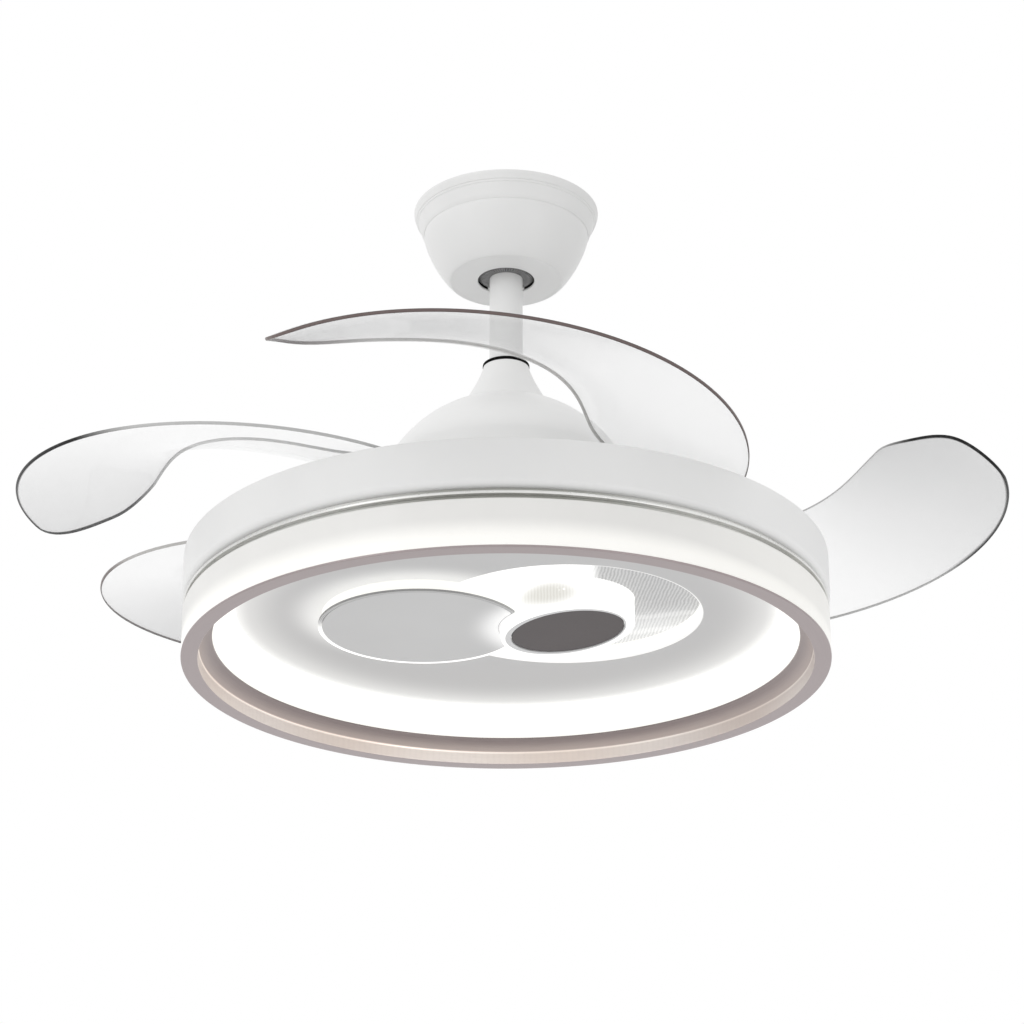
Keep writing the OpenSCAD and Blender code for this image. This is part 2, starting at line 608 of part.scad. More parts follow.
function dome_pt(t, d) = let (r0 = yoke_r + 15, r1 = r0 + 0.364 * (dome_r - r0), z0 = dome_rise, u = 1 - t)
    [u * u * u * r0 + 3 * u * u * t * r1 + 3 * u * t * t * dome_r + t * t * t * dome_r - d * t,
     u * u * u * z0 + 3 * u * u * t * 1.07 * z0 + 3 * u * t * t * 0.36 * z0 - d * (1 - t)];
module motor_dome() color(white) low(plate_top + dome_skirt) rotate_extrude() polygon(concat(
    [[dome_r, -dome_skirt], [dome_r, 0]], [for (k = [17 : -1 : 0]) dome_pt(k / 18, 0)],
    [[yoke_r + 1.5, dome_rise], [yoke_r + 1.5, dome_rise - dome_t]],
    [for (k = [0 : 17]) dome_pt(k / 18, dome_t)], [[dome_r - dome_t, 0], [dome_r - dome_t, -dome_skirt]]));
module rotor_plate() color(steel) difference() {
    low(plate_z) tube(dome_r, foot_hub_r + snug, tray_t);
    low(plate_z - e) ring_of(6, screw_pcr - 8) cylinder(r = 2.2, h = tray_t + 2 * e);
    for (i = [0 : 4]) at_hinge(i) low(plate_z - e) cylinder(r = 3.05, h = tray_t + 2 * e);
}
module blade_tray() color(steel) difference() {
    low() rotate_extrude() polygon([
        [column_in, tray_z], [tray_r, tray_z], [tray_r, tray_top], [case_r, tray_top],
        [case_r - 2, plate_z], [screw_pcr - 14, plate_z], [screw_pcr - 14, plate_z - 8],
        [column_in, plate_z - 12]]);
    low(plate_z - 12) ring_of(6, screw_pcr - 8) cylinder(r = 1.7, h = 13);
    for (i = [0 : 4]) at_hinge(i) low(tray_z - e) cylinder(r = 3.05, h = tray_t + 2 * e);
}
module case_screws() color(steel) ring_of(6, screw_pcr - 8) {
    low(plate_z - 10) cylinder(r = 1.6, h = 10);
    low(plate_z) cylinder(r = 2.15, h = tray_t + 5);
    low(plate_top + 5) cylinder(r = 3.6, h = 2.4);
}
module hinge_posts() color(steel) for (i = [0 : 4]) at_hinge(i) {
    low(tray_top) cylinder(r = post_r, h = tray_gap);
    low(plate_z) cylinder(r = 3, h = tray_t);
    low(tray_z) cylinder(r = 3, h = tray_t);
    low(post_low) cylinder(r = 6, h = tray_z - post_low);
}
module hub_washers() color(black) for (i = [0 : 4]) at_hinge(i)
    low(tray_top) tube(hub_r - 2, post_r + snug, hub_z - tray_top - 0.1);

// ---- blades ----
blade_c = arc_dist * [cos(arc_dir), sin(arc_dir)];
function edge_at(s) = let (a = s - 0.5) 2 * a * a * (edge_root + edge_tip - 2 * edge_mid)
    + a * (edge_tip - edge_root) + edge_mid;
function width_at(s) =
    width_root * (s - 0.25) * (s - 0.5) * (s - 0.75) * (s - 1) / 0.09375
    - width_quarter * s * (s - 0.5) * (s - 0.75) * (s - 1) / 0.0234375
    + width_mid * s * (s - 0.25) * (s - 0.75) * (s - 1) / 0.015625
    - width_three * s * (s - 0.25) * (s - 0.5) * (s - 1) / 0.0234375
    + width_tip * s * (s - 0.25) * (s - 0.5) * (s - 0.75) / 0.09375;
function tip_end(v) = 1 - tip_share
    * (1 - pow(1 - pow(abs(2 * v - 1), tip_exponent), 1 / tip_exponent));
function height_at(s, v) = let (a = s - 0.5, b = v - 0.5)
    blade_z + blade_rise * a - 4 * end_sag * a * a + 8 * s_bend * a * a * a
    + edge_rise * b + 8 * edge_curl * b * b * b + (crown + crown_grow * a) * (1 - 4 * b * b)
    + corner_lift * a * b;
// point on the blade's middle surface, from its own hinge
function skin(s, v) = let (f = root_ang - s * sweep_ang, r = edge_at(s) - v * width_at(s))
    [blade_c.x + r * cos(f), blade_c.y + r * sin(f), height_at(s, v)];
function unit(p) = p / norm(p);
function skin_n(s, v) = unit(cross(skin(s, v + 0.01) - skin(s, v - 0.01),
    skin(s + 0.005, v) - skin(s - 0.005, v)));
function skin_off(s, v, d) = skin(s, v) + d * skin_n(s, v);
// closed sheet from two grids of points
module sheet(top, bot, n, m) {
    w = m + 1;
    q = w * (n + 1);
    polyhedron(points = concat(top, bot), faces = concat(
        [for (i = [0 : n - 1], j = [0 : m - 1], k = [0, 1]) k == 0
            ? [i * w + j, (i + 1) * w + j, (i + 1) * w + j + 1]
            : [i * w + j, (i + 1) * w + j + 1, i * w + j + 1]],
        [for (i = [0 : n - 1], j = [0 : m - 1], k = [0, 1]) k == 0
            ? [q + i * w + j, q + (i + 1) * w + j + 1, q + (i + 1) * w + j]
            : [q + i * w + j, q + i * w + j + 1, q + (i + 1) * w + j + 1]],
        [for (i = [0 : n - 1]) [(i + 1) * w, i * w, q + i * w]],
        [for (i = [0 : n - 1]) [(i + 1) * w, q + i * w, q + (i + 1) * w]],
        [for (i = [0 : n - 1]) [i * w + m, (i + 1) * w + m, q + (i + 1) * w + m]],
        [for (i = [0 : n - 1]) [i * w + m, q + (i + 1) * w + m, q + i * w + m]],
        [for (j = [0 : m - 1]) [j, j + 1, q + j + 1]],
        [for (j = [0 : m - 1]) [j, q + j + 1, q + j]],
        [for (j = [0 : m - 1]) [n * w + j + 1, n * w + j, q + n * w + j]],
        [for (j = [0 : m - 1]) [n * w + j + 1, q + n * w + j, q + n * w + j + 1]]));
}
cells_s = 26;
cells_v = 12;
function across(j) = (1 - cos(180 * j / cells_v)) / 2;
pad_v0 = 0.80;
pad_v1 = 0.46;
pad_s = 0.14;
bolt_r = 2;
// three screws clamp the blade's root on its arm: [across, along] as shares of the arm's pad
bolts = [[0.24, 0.3], [0.76, 0.3], [0.5, 0.74]];
module at_bolts() for (b = bolts) {
    s = pad_s * b[1];
    v = pad_v0 + (pad_v1 - pad_v0) * b[0];
    n = skin_n(s, v);
    translate(skin(s, v)) rotate([0, acos(n.z), atan2(n.y, n.x)]) children();
}
module blade_panel() color(clear) difference() {
    sheet([for (i = [0 : cells_s], j = [0 : cells_v]) let (v = across(j))
        skin_off(i / cells_s * tip_end(v), v, blade_t / 2)],
        [for (i = [0 : cells_s], j = [0 : cells_v]) let (v = across(j))
        skin_off(i / cells_s * tip_end(v), v, -blade_t / 2)], cells_s, cells_v);
    at_bolts() cylinder(r = bolt_r + near, h = 4 * blade_t, center = true);
}
// arm: a flat bar from the hub that widens and turns to lie under the blade's root
bar_z = hub_z + hub_h - 8;
function pad(t, u, d) = skin_off(pad_s * u, pad_v0 + (pad_v1 - pad_v0) * t, -blade_t / 2 - near - d);
pad_mid = pad(0, 0.5, arm_plate / 2);
arm_a = atan2(pad_mid.y, pad_mid.x);
function bar0(u, d) = let (w = 0.8 * arm_width * (0.5 - u))
    [0.75 * hub_r * cos(arm_a) - w * sin(arm_a), 0.75 * hub_r * sin(arm_a) + w * cos(arm_a), bar_z - d];
function ease(t) = t * t * (3 - 2 * t);
function bar(t, u, d) = let (a = bar0(0.5, d), b = pad(0, 0.5, d), k = ease(t))
    [a.x + (b.x - a.x) * t, a.y + (b.y - a.y) * t, a.z + (b.z - a.z) * k]
    + (1 - k) * (bar0(u, d) - a) + k * (pad(0, u, d) - b);
bar_n = 9;
pad_n = 6;
arm_m = 8;
function arm_at(i, j, d) = i <= bar_n ? bar(i / bar_n, j / arm_m, d) : pad((i - bar_n) / pad_n, j / arm_m, d);
module blade_arm() color("#b9bcbe") {
    difference() {
        union() {
            low(hub_z) cylinder(r = hub_r, h = hub_h);
            low(hub_z + hub_h) cylinder(r = neck_r, h = plate_z - 1 - hub_z - hub_h);
        }
        low(hub_z - e) cylinder(r = post_r + run_gap, h = tray_gap);
    }
    low() sheet([for (i = [0 : bar_n + pad_n], j = [0 : arm_m]) arm_at(i, j, 0)],
        [for (i = [0 : bar_n + pad_n], j = [0 : arm_m]) arm_at(i, j, arm_plate)], bar_n + pad_n, arm_m);
    low() at_bolts() {
        translate([0, 0, -blade_t / 2 - near - 0.7 * arm_plate])
            cylinder(r = bolt_r, h = 0.7 * arm_plate + blade_t + near + 0.8, $fn = 32);
        translate([0, 0, blade_t / 2 + 0.5]) cylinder(r = 1.9 * bolt_r, h = 1.4, $fn = 32);
    }
}
module blade_at(i) at_hinge(i) rotate([0, 0, rests[i]]) children();

// ---- stops and return springs, between the tray's two plates ----
fold = arc_dir - hinge_ang + 180;
over_ang = 6;
stop_gap = asin((arm_width / 2 + buffer_r + 0.6) / buffer_d);
stops = [arm_a + rest_ang_1 + over_ang + stop_gap, arm_a - fold - stop_gap];
module rubber_buffers() color(black) for (i = [0 : 4], a = stops) at_hinge(i)
    rotate([0, 0, a]) translate([buffer_d, 0, 0]) low(tray_top) cylinder(r = buffer_r, h = 14);
coil_r = neck_r + 0.6 + wire_d / 2;
coil_rings = 10;
coil_rise = wire_d + 0.5;
function coil_mid(k) = let (a = -360 * k / coil_rings)
    [coil_r * cos(a), coil_r * sin(a), plate_z - 0.1 - wire_d / 2 - k / coil_rings * coil_rise];
function coil_pt(k, m) = let (a = -360 * k / coil_rings, c = wire_d / 2 * cos(60 * m))
    coil_mid(k) + [c * cos(a), c * sin(a), wire_d / 2 * sin(60 * m)];
coil_n = round(spring_turns * coil_rings);
module coil() polyhedron(
    points = [for (k = [0 : coil_n], m = [0 : 5]) coil_pt(k, m)],
    faces = concat(
        [for (k = [0 : coil_n - 1], m = [0 : 5]) [k * 6 + m, (k + 1) * 6 + (m + 1) % 6, k * 6 + (m + 1) % 6]],
        [for (k = [0 : coil_n - 1], m = [0 : 5]) [k * 6 + m, (k + 1) * 6 + m, (k + 1) * 6 + (m + 1) % 6]],
        [[0, 1, 2, 3, 4, 5]], [[for (m = [5 : -1 : 0]) coil_n * 6 + m]]));
module return_springs() color(steel) for (i = [0 : 4]) at_hinge(i) low() coil();
coil_gap = min([for (k = [0 : coil_n], j = [k + 5 : 1 : coil_n]) norm(coil_mid(k) - coil_mid(j))]) - wire_d;
echo(spring_gap = coil_gap, fold = fold, arm_a = arm_a, arm_len = norm([pad_mid.x, pad_mid.y]), stop_gap = stop_gap);
module blade_1_panel() blade_at(0) low() blade_panel();
module blade_1_arm() blade_at(0) blade_arm();
module blade_2_panel() blade_at(1) low() blade_panel();
module blade_2_arm() blade_at(1) blade_arm();
module blade_3_panel() blade_at(2) low() blade_panel();
module blade_3_arm() blade_at(2) blade_arm();
module blade_4_panel() blade_at(3) low() blade_panel();
module blade_4_arm() blade_at(3) blade_arm();
module blade_5_panel() blade_at(4) low() blade_panel();
module blade_5_arm() blade_at(4) blade_arm();

ceiling_bracket();
canopy();
canopy_ring();
canopy_screws();
receiver_box();
hanger_ball();
ball_pin();
downrod();
coupling_gasket();
coupling_cover();
clevis_pin();
yoke();
yoke_screw();
motor_shaft();
stator_core();
stator_coils();
lamp_carrier();
shaft_nut();
carrier_screws();
lamp_pan();
bright_ring();
side_diffuser();
glow_ring();
trim_ring();
centre_panel();
recess_cup();
ripple_lens();
light_tube();
tube_ring();
tube_cap();
disc_plate();
disc_diffuser();
led_plate();
led_boards();
led_driver();
plate_screws();
lead_bundle();
rotor_case_upper();
rotor_case_lower();
magnet_ring();
motor_bearings();
motor_dome();
rotor_plate();
blade_tray();
hinge_posts();
hub_washers();
rubber_buffers();
return_springs();
case_screws();
blade_1_panel();
blade_2_panel();
blade_3_panel();
blade_4_panel();
blade_5_panel();
blade_1_arm();
blade_2_arm();
blade_3_arm();
blade_4_arm();
blade_5_arm();
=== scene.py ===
from math import acos, asin, atan2, cos, degrees, pi, radians, sin, sqrt, tan

import bmesh
import bpy
from mathutils import Matrix, Vector


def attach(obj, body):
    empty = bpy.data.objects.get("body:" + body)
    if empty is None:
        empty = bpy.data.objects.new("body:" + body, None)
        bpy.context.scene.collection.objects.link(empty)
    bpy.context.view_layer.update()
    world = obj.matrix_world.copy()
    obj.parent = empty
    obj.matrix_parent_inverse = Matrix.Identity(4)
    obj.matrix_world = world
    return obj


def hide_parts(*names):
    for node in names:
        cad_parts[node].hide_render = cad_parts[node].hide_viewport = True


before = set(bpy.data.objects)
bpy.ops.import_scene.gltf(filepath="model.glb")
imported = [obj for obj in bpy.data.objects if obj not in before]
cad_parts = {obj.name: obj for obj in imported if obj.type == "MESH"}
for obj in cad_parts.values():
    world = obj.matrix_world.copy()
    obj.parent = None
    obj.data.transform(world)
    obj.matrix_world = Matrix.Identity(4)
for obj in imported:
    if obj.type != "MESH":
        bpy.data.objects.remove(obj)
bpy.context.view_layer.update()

fanDrop = 398.0  # mm from the ceiling to the lowest face of the light
print("frame loaded:", len(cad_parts), "nodes")


# camera, lights and backdrop

studio = {
    "lens": 101.134, "pitch": 22.947, "distance": 2.09124, "height": -1.15169, "sideShift": 0.00577,
    "fill": 0.86, "leftPull": 0.23, "topPull": 0.16, "frontPull": 0.03,
    "lights": (("keyLight", (-2.3, -2.2, 0.35), 6.0, 1.5), ("lowLight", (1.5, -1.7, -0.75), 3.0, 0.9)),
    "aim": (0.0, 0.0, -0.3), "floorDrop": -3.0, "floorRadius": 5.0,
}  # each light: name, place, power, size


def placed(name, data):  # a new object in the scene
    thing = bpy.data.objects.new(name, data)
    bpy.context.scene.collection.objects.link(thing)
    return thing


def sceneSetup():
    scene = bpy.context.scene
    scene.view_settings.view_transform = "Standard"
    data = bpy.data.cameras.new("photoCamera")
    data.sensor_width = 36.0
    data.lens = studio["lens"]
    data.shift_x = studio["sideShift"]
    data.clip_end = 60.0
    eye = placed("photoCamera", data)
    eye.location = (0.0, -studio["distance"], studio["height"])
    eye.rotation_euler = (radians(90.0 + studio["pitch"]), 0.0, 0.0)
    scene.camera = eye
    for name, spot, power, size in studio["lights"]:
        lamp = bpy.data.lights.new(name, "AREA")
        lamp.shape = "DISK"
        lamp.size = size
        lamp.energy = power
        holder = placed(name, lamp)
        holder.location = spot
        holder.rotation_euler = (Vector(studio["aim"]) - Vector(spot)).to_track_quat("-Z", "Y").to_euler()


# small tools for node trees

class Wire:  # one socket that can be used in sums

    def __init__(self, kit, out):
        self.kit, self.out = kit, out

    def calc(self, what, *others, first=None):
        values = [self] + list(others) if first is None else [first, self]
        return self.kit.get("ShaderNodeMath", {"operation": what}, dict(enumerate(values)))

    def __add__(self, other): return self.calc("ADD", other)
    def __radd__(self, other): return self.calc("ADD", other)
    def __sub__(self, other): return self.calc("SUBTRACT", other)
    def __rsub__(self, other): return self.calc("SUBTRACT", first=other)
    def __mul__(self, other): return self.calc("MULTIPLY", other)
    def __truediv__(self, other): return self.calc("DIVIDE", other)
    def low(self, other): return self.calc("MINIMUM", other)
    def high(self, other): return self.calc("MAXIMUM", other)
    def size(self): return self.calc("ABSOLUTE")
    def wave(self): return self.calc("SINE")
    def root(self): return self.calc("SQRT")

    def ease(self, start, end, a=0.0, b=1.0):
        node = self.kit.make("ShaderNodeMapRange", {"interpolation_type": "SMOOTHSTEP"},
                             {0: self, 1: start, 2: end, 3: a, 4: b})
        return Wire(self.kit, node.outputs[0])


class Kit:  # makes nodes in one tree

    def __init__(self, tree):
        self.tree = tree

    def make(self, kind, settings=None, sockets=None):
        node = self.tree.nodes.new(kind)
        for key, value in (settings or {}).items():
            if key == "stops":
                ramp = node.color_ramp
                while len(ramp.elements) < len(value):
                    ramp.elements.new(0.5)
                for element, (place, colour) in zip(ramp.elements, value):
                    element.position = place
                    element.color = (*colour, 1.0)
            else:
                setattr(node, key, value)
        for key, value in (sockets or {}).items():
            value = value.out if isinstance(value, Wire) else value
            if isinstance(value, bpy.types.NodeSocket):
                self.tree.links.new(value, node.inputs[key])
            else:
                node.inputs[key].default_value = value
        return node

    def get(self, kind, settings=None, sockets=None, out=0):
        return Wire(self, self.make(kind, settings, sockets).outputs[out])

    def mix(self, amount, one, two):
        one, two = [(*c, 1.0) if isinstance(c, tuple) and len(c) == 3 else c for c in (one, two)]
        return self.get("ShaderNodeMix", {"data_type": "RGBA"}, {0: amount, 6: one, 7: two}, 2)

    def noise(self, place, scale, detail=2.0, rough=0.5):
        return self.get("ShaderNodeTexNoise", sockets={"Vector": place, "Scale": scale, "Detail": detail,
                                                       "Roughness": rough})


class Finish(Kit):  # a material with its Principled node and ready coordinates

    def __init__(self, name, colour, rough, metal=0.0, **fixed):
        self.material = bpy.data.materials.new(name)
        self.material.use_nodes = True
        super().__init__(self.material.node_tree)
        self.surface = self.tree.nodes["Principled BSDF"]
        self.surface.inputs["Base Color"].default_value = (*colour, 1.0)
        self.surface.inputs["Roughness"].default_value = rough
        self.surface.inputs["Metallic"].default_value = metal
        for key, value in fixed.items():
            self.surface.inputs[key].default_value = value
        coordinates = self.make("ShaderNodeTexCoord")
        self.place = Wire(self, coordinates.outputs["Object"])
        self.uv = Wire(self, coordinates.outputs["UV"])

    def axes(self, source=None):
        node = self.make("ShaderNodeSeparateXYZ", sockets={0: source or self.place})
        return [Wire(self, out) for out in node.outputs]

    def radius(self, centre="axis"):  # distance in metres from one of the upright axes
        across, deep, up = self.axes()
        across = across - centres[centre] / 1000
        return (across * across + deep * deep).root()

    def feed(self, socket, wire):
        self.tree.links.new(wire.out, self.surface.inputs[socket])

    def grain(self, *settings):
        return self.noise(self.place, *settings)

    def colour(self, amount, one, two):
        self.feed("Base Color", self.mix(amount, one, two))

    def light(self, amount, one, two):
        self.feed("Emission Color", self.mix(amount, one, two))

    def vary(self, wire, rough, share):  # roughness
        self.feed("Roughness", rough + (wire - 0.5) * share)

    def bump(self, height, strength, distance=0.0002):
        self.feed("Normal", self.get("ShaderNodeBump", sockets={"Height": height, "Strength": strength,
                                                                "Distance": distance}))


# finishes

centres = {"axis": 0.0, "recess": 46.0, "disc": -66.0, "drum": 48.0}  # of the light's round parts, mm to the right
glowing = {"Emission Strength": 1.0}
black = (0.0, 0.0, 0.0)
tones = {
    "paint": (0.79, 0.79, 0.785), "paintShade": (0.765, 0.765, 0.76), "frost": (0.74, 0.735, 0.72),
    # the trim tones after the first are paler and darker copies of the trim colour, for painted light and painted
    # shade on the trim's inside
    "trim": (0.345, 0.292, 0.295), "trimWallLit": (0.86, 0.76, 0.69), "trimWallSheen": (0.97, 0.91, 0.86),
    "trimSlopeLit": (0.46, 0.385, 0.355), "trimSlopeShade": (0.245, 0.20, 0.195), "panel": (0.545, 0.543, 0.545),
    "disc": (0.575, 0.575, 0.575), "cap": (0.046, 0.035, 0.036), "steel": (0.55, 0.55, 0.545),
    "cast": (0.47, 0.48, 0.49), "rubber": (0.018, 0.018, 0.019), "copper": (0.42, 0.17, 0.07),
}


def dim(colour, share):
    return tuple(c * share for c in colour)


def paintFinish(name="satinPaint", bright=0.0):  # the second argument sets how much painted light makes the paint paler towards +X
    rough = 0.36
    paint = Finish(name, tones["paint"], rough)
    across, deep, up = paint.axes()
    cloud = paint.grain(9.0, 3.0)
    peel = paint.grain(620.0, 2.0, 0.55)
    base = paint.mix(cloud.ease(0.35, 0.7), tones["paint"], tones["paintShade"])
    if bright:
        # painted light: paler towards +X
        base = paint.mix(across.ease(0.10, 0.23) * bright, base, (0.97, 0.97, 0.965))
    paint.feed("Base Color", base)
    paint.vary(cloud, rough, 0.10)
    paint.bump(peel, 0.10)
    return paint.material


def steelFinish(name="zincSteel", base=tones["steel"], rough=0.34):
    steel = Finish(name, base, rough, 0.9)
    brushed = (40.0, 900.0, 900.0)
    place = steel.get("ShaderNodeVectorMath", {"operation": "MULTIPLY"}, {0: steel.place, 1: brushed})
    lines = steel.noise(place, 1.0, 3.0, 0.6)
    cloud = steel.grain(24.0, 3.0)
    steel.colour(cloud.ease(0.3, 0.75), base, dim(base, 0.84))
    steel.vary(lines, rough, 0.22)
    steel.bump(lines, 0.12, 0.00015)
    return steel.material


def bracketFinish():  # zinc plate, painted black below the seat as painted shade of the dark gap round the ball
    steel = Finish("bracketSteel", tones["steel"], 0.4, 0.7)
    across, deep, up = steel.axes()
    cloud = steel.grain(24.0, 3.0)
    # painted shade: black from about 53 mm under the ceiling downwards
    seatShade = up.ease(-0.050, -0.053)
    base = steel.mix(cloud.ease(0.3, 0.75), tones["steel"], dim(tones["steel"], 0.84))
    steel.colour(seatShade, base, (0.006, 0.006, 0.006))
    steel.feed("Metallic", 0.7 - seatShade * 0.7)
    steel.feed("Roughness", 0.36 + (cloud - 0.5) * 0.1 + seatShade * 0.4)
    return steel.material


def castFinish():
    cast = Finish("castAluminium", tones["cast"], 0.45, 0.85)
    grain = cast.grain(520.0, 4.0, 0.65)
    cloud = cast.grain(18.0)
    cast.colour(cloud.ease(0.3, 0.7), tones["cast"], (0.40, 0.41, 0.42))
    cast.vary(grain, 0.42, 0.25)
    cast.bump(grain, 0.22)
    return cast.material


def rubberFinish():
    rubber = Finish("blackRubber", tones["rubber"], 0.62)
    grain = rubber.grain(700.0, 3.0)
    rubber.colour(grain.ease(0.3, 0.7), tones["rubber"], (0.03, 0.03, 0.031))
    rubber.bump(grain, 0.25)
    return rubber.material


def copperFinish():
    copper = Finish("enamelledCopper", tones["copper"], 0.3, 0.9)
    turns = copper.get("ShaderNodeTexWave", {"wave_type": "RINGS", "rings_direction": "Z"},
                       {"Vector": copper.place, "Scale": 420.0, "Distortion": 1.5, "Detail": 1.0})
    copper.colour(turns, tones["copper"], (0.25, 0.08, 0.03))
    copper.bump(turns, 0.5, 0.0004)
    return copper.material


def magnetFinish():
    dark = Finish("ferrite", (0.11, 0.11, 0.115), 0.55, 0.2)
    grain = dark.grain(380.0, 4.0)
    dark.colour(grain.ease(0.35, 0.7), (0.11, 0.11, 0.115), (0.16, 0.16, 0.165))
    dark.bump(grain, 0.3)
    return dark.material


def mouldedFinish(name, colour, rough=0.42, shine=0.5):
    plastic = Finish(name, colour, rough, **{"Specular IOR Level": shine})
    grain = plastic.grain(880.0)
    cloud = plastic.grain(14.0)
    plastic.colour(cloud.ease(0.3, 0.7), colour, dim(colour, 0.96))
    plastic.vary(grain, rough, 0.12)
    plastic.bump(grain, 0.12)
    return plastic.material


def ballFinish():
    ball = Finish("knurledBall", (0.20, 0.20, 0.20), 0.55)
    across, deep, up = ball.axes()
    turn = deep.calc("ARCTAN2", across)
    ribs = (turn * 58.0 + ball.grain(210.0) * 5.0).wave() * 0.5 + 0.5
    fleck = ball.grain(620.0, 2.0, 0.7)
    shade = (ribs * 0.5 + fleck * 0.7).ease(0.38, 0.82)
    ball.colour(shade, (0.018, 0.018, 0.019), (0.33, 0.33, 0.33))
    ball.bump(ribs + fleck, 0.6, 0.0006)
    return ball.material


def sideFinish():  # frosted side wall, brighter towards the lit lower edge, and brighter towards +X by painted light
    side = Finish("frostedSide", tones["frost"], 0.42, **glowing, **{"Coat Weight": 0.15})
    across, deep, up = side.axes()
    glow = up.ease(-0.374, -0.391).high(across.ease(0.10, 0.23) * 0.55)
    mottle = side.grain(30.0)
    side.light(glow, (0.045, 0.044, 0.04), (0.27, 0.265, 0.245))
    side.colour(mottle.ease(0.3, 0.7), tones["frost"], (0.755, 0.75, 0.735))
    side.bump(side.grain(700.0), 0.05)
    return side.material


def glowFinish():
    glow = Finish("litAcrylic", (0.12, 0.12, 0.115), 0.45, **glowing)
    level = (0.93, 0.928, 0.885)
    glow.light(glow.grain(16.0).ease(0.35, 0.7), level, dim(level, 0.985))
    glow.bump(glow.grain(640.0), 0.05)
    return glow.material


def grooveFinish():  # bottom of the gap between pan and side wall, darker at the front and back than at the sides as painted shade
    groove = Finish("grooveMetal", (0.36, 0.36, 0.335), 0.45, 0.6)
    across, deep, up = groove.axes()
    lines = groove.noise(groove.get("ShaderNodeCombineXYZ", sockets={0: up * 900.0}), 1.0, 2.0)
    shade = across.size().ease(0.03, 0.15) * (0.85 + lines * 0.15)
    groove.colour(shade, (0.36, 0.36, 0.335), (0.74, 0.74, 0.72))
    groove.bump(lines, 0.1)
    return groove.material


def drumFinish():  # lit drum with a painted warm reflection on its near wall and painted glints
    drum = Finish("litDrum", (0.12, 0.12, 0.115), 0.4, **glowing)
    across, deep, up = drum.axes()
    wide, tall = (across - 0.032) / 0.026, (up + 0.3545) / 0.0105
    patch = (wide * wide + tall * tall).ease(1.0, 0.05) * deep.ease(-0.030, -0.040)
    streak = (across * 2600.0 + drum.grain(180.0) * 3.0).wave() * 0.12 + 0.88
    # painted glints: small bright spots on the near wall
    bead = drum.get("ShaderNodeTexVoronoi", sockets={"Vector": drum.place, "Scale": 260.0})
    side, high = (across - 0.044) / 0.006, (up + 0.351) / 0.005
    sparkle = bead.ease(0.35, 0.1) * (side * side + high * high).ease(1.0, 0.3)
    level = drum.mix(patch * streak, (0.95, 0.95, 0.935), (0.58, 0.565, 0.52))
    drum.light(sparkle, level, (1.0, 1.0, 0.95))
    drum.bump(drum.grain(640.0), 0.05)
    return drum.material


def champagneFinish():
    trim = Finish("champagneTrim", tones["trim"], 0.34, 0.45, **glowing)
    across, deep, up = trim.axes()
    reach = trim.radius()
    turn = deep.calc("ARCTAN2", across)
    spin = trim.get("ShaderNodeCombineXYZ", sockets={0: reach * 900.0, 1: up * 900.0, 2: turn * 9.0})
    lines = trim.noise(spin, 1.0, 3.0, 0.6)
    slope = trim.mix(up.ease(-0.3868, -0.3800), tones["trimSlopeLit"], tones["trimSlopeShade"])  # painted shade: the chamfer darker towards the lit cone
    # painted light: the inner wall in paler copies of the trim colour, with painted sheen in eight lobes round the
    # ring
    wall = trim.mix((turn * 8.0).wave() * 0.5 + 0.5, tones["trimWallLit"], tones["trimWallSheen"])
    inside = trim.mix(up.ease(-0.3880, -0.3872), wall, slope)
    base = trim.mix(reach.ease(0.2373, 0.2367), tones["trim"], inside)
    # painted shade: the inner wall darker towards the left and right
    base = trim.mix(across.ease(-0.10, -0.26) * 0.28 + across.ease(0.10, 0.26) * 0.34, base, tones["trim"])
    trim.colour(lines.ease(0.2, 0.8, 0.0, 0.10), base, (0.62, 0.56, 0.54))
    # painted highlight along the crease between wall and chamfer, strongest on the left
    creaseHighlight = up.ease(-0.3892, -0.3878) * up.ease(-0.3866, -0.3876) * across.ease(0.06, -0.12)
    # painted light: spill of the glow ring on the inner wall, weaker towards +X
    glow = reach.ease(0.2373, 0.2367) * up.ease(-0.3868, -0.3876) * (1.0 - across.ease(0.02, 0.22) * 0.75)
    trim.light((glow + creaseHighlight * 0.8) * 0.19, black, (1.0, 0.85, 0.72))
    trim.vary(lines, 0.32, 0.12)
    trim.bump(lines, 0.06, 0.00015)
    return trim.material


def panelFinish():  # light grey panel with the spill of the lit walls and a bright line at the recess edge painted in as light
    panel = Finish("greyPanel", tones["panel"], 0.40, **glowing)
    rim = panel.radius().ease(0.135, 0.212)
    disc = panel.radius("disc").ease(0.118, 0.079)
    drum = panel.radius("drum").ease(0.085, 0.05)
    soft = panel.grain(10.0)
    edge = panel.radius("recess").ease(0.1078, 0.1066)
    brim = panel.radius().ease(0.196, 0.2125)
    spill = rim * rim * rim * 0.25 + brim * brim * 0.22 + disc * disc * 0.34 + drum * 0.2 + edge * 0.5 + soft * 0.012
    panel.light(spill, black, (1.0, 0.995, 0.965))
    panel.bump(panel.grain(760.0), 0.05)
    return panel.material


def discRimFinish():  # clear edge of the disc, with painted light on the side away from the viewer and painted shadow lines on the near side
    rim = Finish("discRim", tones["disc"], 0.3, **glowing)
    across, deep, up = rim.axes()
    lit = (deep - across * 0.15).ease(0.000, 0.030)
    line = (rim.radius("disc") * 5200.0).wave().ease(-0.2, 0.6) * (1.0 - lit)
    rim.colour(line, (0.56, 0.56, 0.56), (0.33, 0.33, 0.33))
    rim.light(lit, black, (0.72, 0.72, 0.70))
    rim.bump(rim.grain(640.0), 0.05)
    return rim.material


